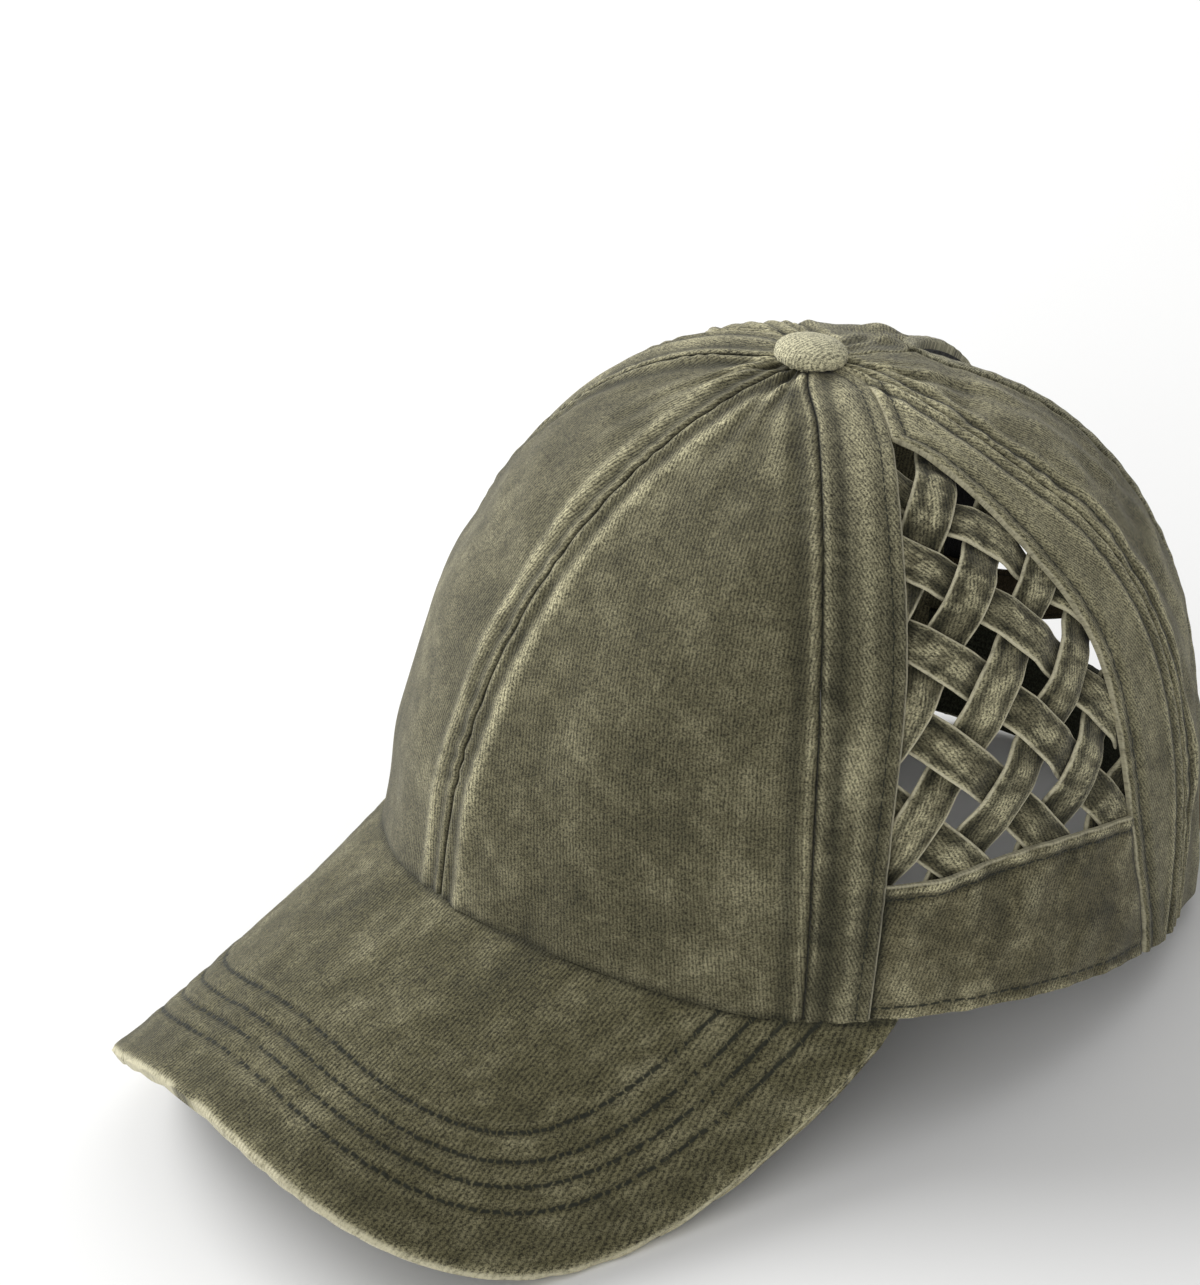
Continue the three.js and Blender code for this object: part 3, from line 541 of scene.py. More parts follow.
# In these cloths the darks are painted shade in seam lines, beside raised strips and in the valleys next to
# seam ridges; the paling towards the top is partly fade, partly painted light from above.
panelCloth = washedCloth(
    "frontPanelTwill", base=(0.091, 0.083, 0.046, 1),
    ridges=[("from", 6.6, 3.2, 0.55), ("from", 1.2, 1.0, 0.3), ("to", 1.8, 1.4, 0.4)],
    darks=[
        ("from", 0.0, 0.6, 1.0), ("from", 3.1, 1.9, 0.4), ("to", 0.0, 0.7, 1.0), ("to", 4.8, 3.2, 0.4),
        ("along", 0.0, 2.2, 0.8)])
backCloth = washedCloth(
    "backPanelTwill", topFadeAndLight=0.2, patches=1.3,
    ridges=[("from", 1.6, 1.4, 0.4), ("from", 7.0, 1.8, 0.4), ("to", 0.6, 1.2, 0.3)],
    darks=[("from", 0.0, 0.6, 1.0), ("from", 4.4, 1.4, 0.5), ("to", 3.5, 2.5, 0.3)],
    rows=[("from", 4.4, 0.2, 2.6)])
frontStripCloth = washedCloth(
    "frontStripTwill", base=(0.083, 0.076, 0.043, 1), topFadeAndLight=0.3, patches=1.6, slant=0.5,
    cream=[("to", 0.6, 0.65)], ridges=[("from", 1.2, 0.9, 0.3), ("from", 9.5, 2.4, 0.2)],
    darks=[("from", 0.0, 0.5, 1.0), ("from", 4.4, 3.0, 0.5), ("to", 3.4, 2.4, 0.4)],
    rows=[("to", 3.2, 0.16, 2.4)])
backStripCloth = washedCloth(
    "backStripTwill", topFadeAndLight=0.45, patches=1.6, slant=0.5, cream=[("from", 0.6, 0.6)],
    ridges=[("to", 1.4, 1.4, 0.4), ("to", 6.8, 1.7, 0.35)],
    darks=[("to", 0.0, 0.6, 1.0), ("to", 4.0, 1.4, 0.5), ("from", 3.4, 2.0, 0.4)],
    rows=[("from", 3.4, 0.2, 2.6), ("to", 4.2, 0.18, 2.6)])
bandCloth = washedCloth(
    "sideBandTwill", base=(0.09, 0.08, 0.043, 1), patches=1.6, slant=-0.5, cream=[("top", 0.7, 0.6)],
    ridges=[("top", 1.2, 1.0, 0.4), ("along", 0.2, 1.2, 0.5)],
    darks=[("from", 0.0, 2.4, 0.9), ("to", 0.0, 2.4, 0.9), ("top", 3.2, 1.4, 0.5)],
    rows=[("along", 2.6, 0.3, 2.8), ("top", 3.2, 0.2, 2.4)])
print("cloth materials ready")


# Walls of the crown. Lumps say: edge, height, distance, width. Dips say: edge, depth, width. Gathers
# say: edge, seed, height, reach, pitch. Spines say: height, share of the width, spread, width at which
# they are full. Creases, ripples and sags begin with height, size and seed.

halfGap = 0.02
wallThickness = 1.2
wearerSides = (("left", 1), ("right", -1))
plainDip = (0.55, 1.1)
frontPanel = {
    "fade": 6, "folds": [3], "dips": [("from", *plainDip), ("to", *plainDip)],
    "lumps": [
        ("from", 0.5, 6.6, 1.8), ("from", -0.3, 3.4, 1.4), ("from", 0.2, 1.3, 0.8),
        ("to", 0.35, 2.0, 1.1), ("to", -0.35, 5.0, 2.0), ("to", 0.15, 9.5, 2.0)],
    "gathers": [("from", 21, 0.22, 7, 9), ("to", 22, 0.22, 7, 6)]}
frontStrip = {
    "dips": [("from", 0.5, 0.9), ("to", 0.6, 0.9)], "spines": [(0.4, 0.55, 0.13, 14)],
    "lumps": [
        ("from", -0.45, 4.2, 2.0), ("to", -0.2, 3.4, 1.4), ("to", 0.2, 1.3, 0.7),
        ("from", 0.2, 1.2, 0.7)],
    "gathers": [("from", 31, 0.42, 6, 7.5), ("to", 32, 0.25, 6, 8)]}
backPanel = {
    "fade": 8, "folds": [7], "dips": [("from", *plainDip), ("to", 0.3, 0.6)],
    "creases": [(0.8, 24, 41, (1.6, 1.6, 0.45))],
    "lumps": [("from", 0.45, 1.8, 1.1), ("from", 0.5, 7.0, 1.4), ("from", -0.5, 4.4, 1.1)],
    "gathers": [("from", 42, 0.22, 8, 8), ("to", 43, 0.3, 9, 12)]}
backStrip = {
    "dips": [("from", 0.5, 0.8), ("to", *plainDip)],
    "lumps": [
        ("to", 0.4, 1.8, 1.0), ("to", 0.45, 6.8, 1.3), ("to", -0.45, 4.2, 1.1), ("from", -0.35, 3.4, 1.1),
        ("from", 0.25, 1.3, 0.7), ("from", 0.3, 6.5, 1.6)],
    "gathers": [("from", 51, 0.26, 7, 8), ("to", 52, 0.22, 8, 8)]}
sideBand = {
    "dips": [("from", 0.5, 1.4), ("to", 0.5, 1.4)], "sags": [(0.3, 30, 64)],
    "lumps": [
        ("top", 0.5, 1.4, 0.9), ("top", -0.35, 3.2, 0.9), ("along", -0.3, 2.6, 0.8),
        ("along", 0.3, 1.0, 0.8)],
    "ripples": [
        (0.4, 17, 61, (0.3, 1.2, 0.6), None, 0), (0.4, 8, 62, (0.2, 1.3, 0.2), "top", 7),
        (0.3, 8, 63, (0.2, 1.3, 0.2), "along", 5)]}
folds = {"height": 0.75, "size": 46, "slowCrease": 0.6, "fineCrease": 0.5}
creases = {
    "height": 0.2, "size": 15, "rayHeight": 0.38, "rayStart": 84, "rayFull": 30, "rays": 17,
    "wander": 1.9, "wanderRays": 7}
gather = {
    "wander": 0.8, "wanderSize": 26, "lean": 0.03, "strength": 0.6, "varies": 0.7, "variesSize": 34,
    "least": 0.05, "most": 1.4, "fullWidth": 22, "startLength": 5}


def lump(distance, offset, width):
    return np.exp(-((distance - offset) / width) ** 2)


def seamDip(distance, depth, width):
    return -depth * np.clip(1 - distance / width, 0, 1) ** 1.5


def gathered(side, points, where, seed, height, reach, pitch):
    # Gathers across a seam, uneven in length and strength
    distance, along = side[where], side["along"]
    wander = gather["wander"] * ripple(points, gather["wanderSize"], seed)
    phase = along / pitch + wander + gather["lean"] * distance
    strength = gather["strength"] + gather["varies"] * ripple(points, gather["variesSize"], seed + 3)
    ends = (np.clip((side["from"] + side["to"]) / gather["fullWidth"], 0, 1) ** 1.5
            * np.clip(along / gather["startLength"], 0.1, 1))
    return (height * np.sin(2 * np.pi * phase) * np.clip(strength, gather["least"], gather["most"]) * ends
            * lump(distance, 0, reach))


def smallCreases(points, seed):
    high = np.clip((points[..., 2] - creases["rayStart"]) / creases["rayFull"], 0, 1)
    turn = np.arctan2(points[..., 0], -(points[..., 1] + crown["apexForward"]))
    wander = creases["wander"] * np.sin(turn * creases["wanderRays"] + seed)
    rays = np.sin(turn * creases["rays"] + wander) * high ** 2
    return creases["height"] * ripple(points, creases["size"], seed + 5) + creases["rayHeight"] * rays


def wallRelief(piece):
    def relief(side, points):
        width = np.maximum(side["from"] + side["to"], 1)
        fade = np.clip(np.minimum(side["from"], side["to"]) / piece.get("fade", 1), 0, 1)
        slow = np.zeros_like(width)
        fine = sum(height * lump(side[where], *place) for where, height, *place in piece["lumps"])
        fine = fine + sum(seamDip(side[where], *size) for where, *size in piece["dips"])
        fine = fine + sum(gathered(side, points, *settings) for settings in piece.get("gathers", ()))
        for seed in piece.get("folds", ()):
            slow = slow + folds["height"] * ripple(points, folds["size"], seed) * fade
            fine = fine + smallCreases(points, seed) * fade
        for height, *wave in piece.get("creases", ()):
            crease = height * ripple(points, *wave) * fade
            slow, fine = slow + folds["slowCrease"] * crease, fine + folds["fineCrease"] * crease
        for height, share, spread, fullWidth in piece.get("spines", ()):
            spine = lump(side["from"] / width, share, spread)
            fine = fine + height * spine * np.clip(width / fullWidth, 0, 1)
        for height, size, seed, stretch, where, reach in piece.get("ripples", ()):
            near = lump(side[where], 0, reach) if where else 1
            fine = fine + height * ripple(points, size, seed, stretch) * near
        for height, size, seed in piece.get("sags", ()):
            slow = slow + height * ripple(points, size, seed)
        return slow, fine
    return relief


def edgeBeside(seam, distance):
    return lambda level: beside(seam, level, distance)


def edgeAtAngle(angle, distance):
    return edgeBeside(lambda level: np.full(np.shape(level), float(angle)), distance)


def bandShare(angle):
    return shareOfHeight(bandTop(angle))


def wallPiece(node, sign, slotName, material, fromEdge, toEdge, levels, columns, depths, relief, top=None):
    u = np.linspace(0, 1, columns)[None, :]
    level = levels[:, None]
    if top is None:
        angle = fromEdge(levels)[:, None] * (1 - u) + toEdge(levels)[:, None] * u
    else:
        # the top edge depends on the angle and the angle on the level, so both are found in turns
        angle = np.full((len(levels), columns), 88.0)
        for _ in range(6):
            level = levels[:, None] * top(angle)
            angle = fromEdge(level) * (1 - u) + toEdge(level) * u
    share = shareAt(angle, level)
    base = crownPoint(angle, share)
    flip = np.array([sign, 1, 1])
    marks = edgeMarks(base)
    slow, fine = relief(sidesOf(marks), base * flip)
    rise = slow + fine
    outer = skin(angle, share, depths[0] - rise)
    inner = skin(angle, share, depths[1] - np.maximum(0.5 * rise, 0))
    # The fine relief height drives the crest paling (wear and painted highlight) and hollow darkening
    # (painted shade)
    marks["wearAndPaintedLight"][..., 0] = fine
    marks["cloth"][..., 0] *= sign
    sewMesh("cloth_" + node, node, slotName, material, outer * flip, inner * flip, marks)


binding = {
    "width": 3.5, "raise": 0.5, "depth": 1.5, "apex": 0.868, "runOn": 0.017, "roll": 0.9, "sink": 0.5}


def openingLip(level):
    return np.minimum(beside(openingSeam, level, 0.0), edgeAtAngle(180, -halfGap)(level))


def panelBackEdge(level):
    narrowing = 1 - smoothStep((level - binding["apex"] + 0.004) / 0.022)
    width = (binding["width"] + 0.1) * narrowing + halfGap
    return np.minimum(beside(openingSeam, level, -width), edgeAtAngle(180, -halfGap)(level))


def backStripFront(level):
    return np.where(level < backCornerShare, latticeSeam(level), stripSeam(level))


fineLevels, backLevels = np.linspace(0, topLevel, 150), np.linspace(0, topLevel, 130)
flush, proud = (0.0, wallThickness), (-0.3, wallThickness)
walls = [
    (
        "front_panel", "twill", panelCloth, edgeAtAngle(0, halfGap), edgeBeside(frontSeam, -halfGap),
        fineLevels, 100, flush, wallRelief(frontPanel)),
    (
        "front_strip", "strip", frontStripCloth, edgeBeside(frontSeam, halfGap),
        edgeBeside(stripSeam, -halfGap), fineLevels, 24, proud, wallRelief(frontStrip)),
    (
        "back_strip", "strip", backStripCloth, edgeBeside(backStripFront, halfGap),
        edgeBeside(backSeam, -halfGap), fineLevels, 26, proud, wallRelief(backStrip)),
    (
        "back_panel", "twill", backCloth, edgeBeside(backSeam, halfGap), panelBackEdge, backLevels, 56,
        flush, wallRelief(backPanel)),
    (
        "side_band", "strip", bandCloth, edgeBeside(stripSeam, halfGap),
        edgeBeside(latticeSeam, -halfGap), np.linspace(0, 1, 30), 70, flush, wallRelief(sideBand),
        bandShare)]
for label, sign in wearerSides:
    for name, *settings in walls:
        wallPiece(name + "_" + label, sign, *settings)
print("crown walls sewn")


# Rolled hem and black tape of the ponytail opening

tape = {
    "width": 9, "outer": 1.5, "thickness": 0.8, "low": 31, "short": 0.02, "past": 0.5, "pastMore": 0.6}
# The hem's dark is painted shade where the rolled hem meets the panel
hemCloth = washedCloth(
    "rolledHem", base=(0.2, 0.19, 0.13, 1), wear=0.25, pitch=0.75, slant=1.4,
    darks=[("from", 0.0, 0.5, 0.6)])
tapeCloth = washedCloth(
    "blackTape", base=(0.0075, 0.0075, 0.0078, 1), fadedAndLit=(0.03, 0.03, 0.03, 1),
    deep=(0.003, 0.003, 0.003, 1), pitch=0.5, patches=0.2)


def hemRelief(side, points):
    width = np.maximum(side["from"] + side["to"], 0.5)
    across = np.clip(2 * side["from"] / width - 1, -1, 1)
    return binding["roll"] * np.sqrt(1 - across ** 2 * 0.98) - binding["sink"], 0.16 * ripple(points, 5, 71)


def tapeRelief(side, points):
    return np.zeros_like(side["from"]), 0.08 * ripple(points, 9, 77)


def tapeLip(level):
    return beside(openingSeam, level, tape["past"] + tape["pastMore"] * smoothStep((level - 0.45) / 0.2))


for label, sign in wearerSides:
    wallPiece("opening_binding_" + label, sign, "binding", hemCloth,
              lambda level: panelBackEdge(level) - halfGap, openingLip,
              np.linspace(0, binding["apex"] + binding["runOn"], 170), 12,
              (-binding["raise"], binding["depth"]), hemRelief)
    wallPiece("opening_tape_" + label, sign, "black", tapeCloth, edgeBeside(openingSeam, -tape["width"]),
              tapeLip, np.linspace(shareOfHeight(tape["low"]), binding["apex"] - tape["short"], 70), 8,
              (tape["outer"], tape["outer"] + tape["thickness"]), tapeRelief)


# Sweatband

sweatband = {
    "height": 25, "outer": 1.55, "thickness": 1.2, "end": 142, "rimClear": 1.2, "puff": (0.15, 14, 81)}


def makeSweatband():
    height, size, seed = sweatband["puff"]
    angle, share = np.meshgrid(
        np.linspace(-sweatband["end"], sweatband["end"], 150),
        shareOfHeight(np.linspace(sweatband["rimClear"], sweatband["height"], 14)))
    base = crownPoint(angle, share)
    puff = np.abs(height * ripple(base, size, seed))
    outer = sweatband["outer"] + 0 * puff
    sewMesh("cloth_sweatband", "sweatband", "black", tapeCloth, skin(angle, share, outer),
            skin(angle, share, outer + sweatband["thickness"] + puff), edgeMarks(base))


makeSweatband()
print("tape and sweatband done")


# Brim

peak = {
    "length": 62.9, "halfAngle": 70.6, "pitch": 26.27, "round": 2.73, "flare": -6.1, "curl": 3.884,
    "curlGain": 3.216, "curlFade": -12, "thickness": 3.2, "rows": (14.3, 19.7, 25.0, 31.2),
    "rowLength": 3.2, "overlap": 0.016, "sink": 0.1, "edgeRound": 1.6, "joinFade": 4, "groove": 0.3,
    "grooveWidth": 0.9, "quilt": 0.22, "quiltPlace": 2.7, "quiltWidth": 1.3, "tuck": 0.28,
    "tuckWidth": 1.5, "tuckTurn": 2.1, "lip": (0.2, 2.2, 1.4)}


def peakHeight(x, y):
    out = -(y + crown["frontLength"])
    curl = (peak["curl"] + peak["curlGain"] * out / 70) * 1e-3
    return -np.tan(np.radians(peak["pitch"])) * out - curl * x * x / (1 + peak["curlFade"] * 1e-5 * x * x)


def peakEdge(u):
    xb, yb = rimPoint(np.array(peak["halfAngle"]))
    length = crown["frontLength"] + peak["length"] + yb
    s, c = np.sin(u * np.pi / 2), np.cos(u * np.pi / 2)
    y = yb - length * np.abs(c) ** (2 / peak["round"])
    f = (yb - y) / length
    return xb * signedPower(s, 2 / peak["round"]) + np.sign(s) * peak["flare"] * 4 * f * (1 - f), y


def peakTop(u, w):
    u, w = np.broadcast_arrays(u, w)
    angle = u * peak["halfAngle"]
    ix, iy = rimPoint(angle)
    ox, oy = peakEdge(u)
    x, y = ix + (ox - ix) * w, iy + (oy - iy) * w
    lift = rimArch(foldAngle(angle)) - peak["sink"] - peakHeight(ix, iy)
    return np.stack([x, y, peakHeight(x, y) + lift * (1 - w) ** 2], -1)


def quiltOf(top, toEdge, along):
    # grooves of the rows of stitches, the cloth between them, and the small tucks of each stitch
    quilt = sum(peak["quilt"] * lump(toEdge, row - peak["quiltPlace"], peak["quiltWidth"])
                - peak["groove"] * lump(toEdge, row, peak["grooveWidth"]) for row in peak["rows"])
    turn = 2 * np.pi * along / peak["rowLength"]
    tucks = sum(peak["tuck"] * np.sin(turn + k * peak["tuckTurn"]) * lump(toEdge, row, peak["tuckWidth"])
                for k, row in enumerate(peak["rows"]))
    return quilt + tucks * np.clip(0.6 + 0.6 * ripple(top, 30, 93), 0.1, 1.3)


def makeBrim():
    u = np.linspace(-0.99, 0.99, 230)[None, :]
    w = np.concatenate([np.linspace(-peak["overlap"], 0.9, 60), np.linspace(0.915, 0.985, 8), [0.993, 1.0]])
    w = w[:, None]
    top = peakTop(u, w)
    normal = unit(np.cross(peakTop(u + 0.004, w) - peakTop(u - 0.004, w),
                           peakTop(u, w + 0.01) - peakTop(u, w - 0.01)))
    normal = normal * np.sign(normal[..., 2:])
    edgeLine = peakTop(np.linspace(-1, 1, 801), 1.0)
    edgeRun = lengthsAcross(edgeLine, 0)[::4]
    gaps = np.linalg.norm(top[:, :, None, :] - edgeLine[None, None, ::4, :], axis=-1)
    toEdge, along, toRim = gaps.min(-1), edgeRun[gaps.argmin(-1)], lengthsAcross(top, 0)
    quilt = quiltOf(top, toEdge, along)
    height, *lip = peak["lip"]
    swell = 0.25 * ripple(top, 34, 91) + 0.1 * ripple(top, 9, 92) + quilt + height * lump(toEdge, *lip)
    inset = 1 - np.clip(toEdge / peak["edgeRound"], 0, 1)
    roundOff = peak["thickness"] / 2 * (1 - np.sqrt(np.clip(1 - inset ** 2, 0, 1)))
    outer = top + normal * (swell * np.clip(toRim / peak["joinFade"], 0, 1) - roundOff)[..., None]
    inner = top - normal * (peak["thickness"] - roundOff - 0.2 * quilt)[..., None]
    # Quilted puffs turn paler (wear and painted highlight) and stitch grooves darker (painted shade); the
    # darks are painted shade where the brim meets the crown, and a darker band 2 to 14 mm in from the edge
    marks = {"seams": stacked(toEdge, toRim, along), "cloth": top * np.array([1, 1.12, 1]),
             "wearAndPaintedLight": stacked(quilt + 0.2 * ripple(top, 12, 94), toEdge, 0.0)}
    cloth = washedCloth("brimTwill", base=(0.076, 0.069, 0.034, 1), cream=[("from", 1.8, 1.0)],
                        rows=[("from", row, 0.46, peak["rowLength"]) for row in peak["rows"]],
                        ridges=[("from", 0.0, 3.4, 0.6)],
                        darks=[("to", 0.8, 2.4, 1.0), ("from", 8.0, 6.0, 0.25)], bump=0.45, crest=0.5)
    sewMesh("cloth_brim", "brim", "peak", cloth, outer, inner, marks)


makeBrim()
print("brim done")


# Woven lattice. The strips are straight on a flat chart that touches the crown beside the ear.

lattice = {
    "width": 9.6, "thickness": 2.0, "lift": 0.95, "rest": 4.2, "tuck": 3.4, "bulge": 1.6,
    "bulgeReach": 18, "deepest": 3.2, "centreAngle": 88, "centreShare": 0.42, "upAngle": 50,
    "downAngle": -42, "up": (-26, -12, 3, 18, 33, 47.5), "down": (19.5, 3.8, -12.3, -28.4, -44.5),
    "step": 1.1, "sways": ((0.35, 11), (0.2, 4.3)), "widthSway": (0.03, 6), "lip": 0.12,
    "ruffles": ((0.22, 6, 101), (0.14, 2.6, 131)), "hollow": -0.54, "crease": 2.4}
chartCentre = crownPoint(lattice["centreAngle"], lattice["centreShare"])
chartNormal = crownNormal(lattice["centreAngle"], lattice["centreShare"])
chartBack = unit(np.array([0, 1, 0]) - chartNormal * chartNormal[1])
chartUp = np.cross(chartNormal, chartBack)
# The lattice darks are painted shade along both sides of each strip, and the pale middle ridge is partly
# wear, partly painted highlight; the stronger crest gives painted highlight where strips pass over and
# painted shade where they go under.
latticeCloth = washedCloth(
    "latticeTwill", base=(0.085, 0.077, 0.044, 1), patches=1.5, crest=1.3, slant=0.3,
    cream=[("from", 0.8, 1.0), ("to", 0.8, 1.0)], ridges=[("from", 4.8, 2.4, 0.2)],
    darks=[("from", 2.0, 1.3, 0.8), ("to", 2.0, 1.3, 0.8)])


def toFlat(points):
    q = points - chartCentre
    return q @ chartBack, q @ chartUp


def toCrown(a, b):
    # Newton's method: the place on the crown that lies at (a, b) on the chart
    stepAngle, stepShare = 0.05, 0.0005
    angle = np.full(np.shape(a), float(lattice["centreAngle"]))
    share = np.full(np.shape(a), float(lattice["centreShare"]))
    for _ in range(24):
        fa, fb = toFlat(crownPoint(angle, share))
        aa, ab = toFlat(crownPoint(angle + stepAngle, share))
        sa, sb = toFlat(crownPoint(angle, share + stepShare))
        m00, m10 = (aa - fa) / stepAngle, (ab - fb) / stepAngle
        m01, m11 = (sa - fa) / stepShare, (sb - fb) / stepShare
        det = m00 * m11 - m01 * m10
        da, db = a - fa, b - fb
        angle = angle + np.clip((m11 * da - m01 * db) / det, -8, 8)
        share = np.clip(share + np.clip((m00 * db - m10 * da) / det, -0.08, 0.08), 0.02, 0.93)
    return angle, share


def fieldOutline():
    low = bandShare(np.array(67.0)), bandShare(np.array(107.0))
    front = np.linspace(low[0], backCornerShare, 25)
    back = np.linspace(backCornerShare, low[1], 25)[1:]
    bottom = np.linspace(latticeSeam(low[1]), stripSeam(low[0]), 17)[1:-1]
    corners = [crownPoint(stripSeam(front), front), crownPoint(latticeSeam(back), back),
               crownPoint(bottom, bandShare(bottom))]
    return np.stack(toFlat(np.concatenate(corners)), -1)


outline = fieldOutline()
nextCorner = np.roll(outline, 1, axis=0)
border = nextCorner - outline


def inField(a, b):
    a, b = a[..., None], b[..., None]
    crosses = (outline[:, 1] > b) != (nextCorner[:, 1] > b)
    rise = np.where(border[:, 1] == 0, 1e-9, border[:, 1])
    left = a < border[:, 0] * (b - outline[:, 1]) / rise + outline[:, 0]
    return np.sum(crosses & left, -1) % 2 == 1


def fromBorder(a, b):
    da, db = a[..., None] - outline[:, 0], b[..., None] - outline[:, 1]
    s = np.clip((da * border[:, 0] + db * border[:, 1]) / np.sum(border * border, -1), 0, 1)
    return np.min(np.hypot(da - border[:, 0] * s, db - border[:, 1] * s), -1)


def directions(kind):
    turn = np.radians(lattice[kind + "Angle"])
    along = np.array([np.cos(turn), np.sin(turn)])
    return along, np.array([along[1], -along[0]]) * (1 if kind == "up" else -1)


def crossingAt(places, k):
    last = len(places) - 1
    pitch = (places[last] - places[0]) / last
    if k < 0:
        return places[0] + k * pitch
    return places[last] + (k - last) * pitch if k > last else places[k]


def weaveSide(kind, index, q):
    # 1 where this strip lies under its neighbour, -1 where it lies over
    places = lattice["down" if kind == "up" else "up"]
    first = 1 if kind == "up" else -1
    result = np.zeros_like(q)
    for k in range(-6, len(places) + 6):
        here, following = crossingAt(places, k), crossingAt(places, k + 1)
        s = (q - here) / (following - here)
        rest = lattice["rest"] / abs(following - here)
        now = -first if (index + k) % 2 == 0 else first
        value = now - 2 * now * smoothStep((s - rest) / (1 - 2 * rest))
        result = np.where((s >= 0) & (s < 1), value, result)
    return result


def stripEnds(along, across, offset, w):
    # where each line along the strip enters and leaves the field, with a tuck behind the border
    scan = np.arange(-90, 90, 0.25)
    ends = []
    for share in w:
        o = offset + share * lattice["width"] / 2
        hits = scan[inField(along[0] * scan + across[0] * o, along[1] * scan + across[1] * o)]
        ends.append((hits[0], hits[-1]) if len(hits) else (np.nan, np.nan))
    starts, stops = np.array(ends).T
    found = ~np.isnan(starts)
    return (np.interp(w, w[found], starts[found]) - lattice["tuck"],
            np.interp(w, w[found], stops[found]) + lattice["tuck"])


def latticePiece(kind, index, sign, label):
    along, across = directions(kind)
    otherAcross = directions("down" if kind == "up" else "up")[1]
    offset, halfWidth = lattice[kind][index], lattice["width"] / 2
    w = -np.cos(np.linspace(0, np.pi, 17))
    starts, stops = stripEnds(along, across, offset, w)
    v = np.linspace(0, 1, int((np.max(stops) - np.min(starts)) / lattice["step"]))[:, None]
    s, w = starts + (stops - starts) * v, w[None, :]
    rng = np.random.default_rng(index * 7 + (3 if kind == "up" else 11) + (0 if sign > 0 else 100))
    sway = sum(amount * np.sin(s / length + rng.uniform(0, 6)) for amount, length in lattice["sways"])
    amount, length = lattice["widthSway"]
    o = offset + w * halfWidth * (1 + amount * np.sin(s / length + rng.uniform(0, 6))) + sway
    a, b = along[0] * s + across[0] * o, along[1] * s + across[1] * o
    under = weaveSide(kind, index, a * otherAcross[0] + b * otherAcross[1])
    risen = np.where(inField(a, b), smoothStep((fromBorder(a, b) - 1) / lattice["bulgeReach"]), 0)
    depth = lattice["deepest"] - lattice["bulge"] * risen + lattice["lift"] * under
    angle, share = toCrown(a, b)
    base = crownPoint(angle, share)
    flip = np.array([sign, 1, 1])
    ruffle = sum(height * ripple(base * flip, size, seed + index)
                 for height, size, seed in lattice["ruffles"])
    puff, thick = (1 - np.abs(w) ** 3.2) ** 0.6, lattice["thickness"] / 2
    outer = skin(angle, share, depth - puff * (thick + ruffle) - lattice["lip"])
    inner = skin(angle, share, depth + puff * thick * 0.9 + lattice["lip"])
    # The first mark: hollow shades strips where they go under and lights them where they pass over (painted
    # shade and highlight); crease adds the ruffles to it
    marks = {"seams": stacked((w + 1) * halfWidth, (1 - w) * halfWidth, s),
             "cloth": stacked(w * halfWidth, s, base[..., 2]),
             "wearAndPaintedLight": stacked(lattice["hollow"] * under + lattice["crease"] * ruffle, s, s)}
    node = "lattice_%s_%d_%s" % (kind, index + 1, label)
    sewMesh("cloth_" + node, node, "lattice", latticeCloth, outer * flip, inner * flip, marks)


for label, sign in wearerSides:
    for kind in ("up", "down"):
        for index in range(len(lattice[kind])):
            latticePiece(kind, index, sign, label)
print("lattice woven")


# Elastic ribbons

elastic = {"width": 12, "thickness": 1.2, "tuck": 8, "taper": 0.6}
ribbons = {
    "elastic_band_1": {"heights": (102, 85), "depths": (4.3, 5.4), "bow": 4.4, "bend": 1},
    "elastic_band_2": {"heights": (85, 102), "depths": (3.7, 4.3), "bow": 2.9, "bend": 1},
    "elastic_band_3": {"heights": (75.5, 35.5), "depths": (5.4, 3.5), "bow": 7.2, "bend": 1.3},
    "elastic_band_4": {"heights": (35.5, 75.5), "depths": (3.5, 3.6), "bow": 6, "bend": 1.3}}
ribbed = {
    "noise": (1.9, 2, 0.7), "groove": (0.012, 0.01, 0.007, 1), "grooveShare": 0.35, "lineWidth": 0.35,
    "lineShare": 0.75, "ribHeight": 0.25, "roughness": (0.3, 0.7, 0.95, 0.85), "bump": 0.4,
    "distance": 0.0006}


def ribbedCloth(name, base, fadedAndLit, ribPitch, edgeLine):
    material, tree, shader = newMaterial(name)
    seams = attribute(tree, "seams")
    fromEdge, toEdge, along = parts(tree, seams)
    cross = compute(tree, "SINE", times(tree, along, 2 * np.pi / ribPitch))
    fine = noise(tree, seams, *ribbed["noise"])
    near = compute(tree, "MINIMUM", fromEdge, toEdge)
    line = ramp(tree, gapTo(tree, near, edgeLine), ribbed["lineWidth"], 0.0)
    # Rib grooves and the groove along each edge are darkened: painted shade
    groove = times(tree, ramp(tree, cross, -0.2, -1.0), ribbed["grooveShare"])
    colour = blendColour(tree, ramp(tree, fine, 0.35, 0.7), base, fadedAndLit)
    colour = blendColour(tree, groove, colour, ribbed["groove"])
    colour = blendColour(tree, times(tree, line, ribbed["lineShare"]), colour, ribbed["groove"])
    height = minus(tree, plus(tree, times(tree, cross, ribbed["ribHeight"]), fine), line)
    shader["Specular IOR Level"].default_value = 0.2
    finishShader(tree, shader, colour, ramp(tree, fine, *ribbed["roughness"]), height, ribbed["bump"],
                 ribbed["distance"])
    return material


elasticCloth = ribbedCloth("ribbedElastic", (0.047, 0.035, 0.018, 1), (0.082, 0.063, 0.034, 1), 0.75, 1.1)


def sideStep(angle, share):
    return np.linalg.norm(crownPoint(angle + 0.5, share) - crownPoint(angle - 0.5, share), axis=-1)


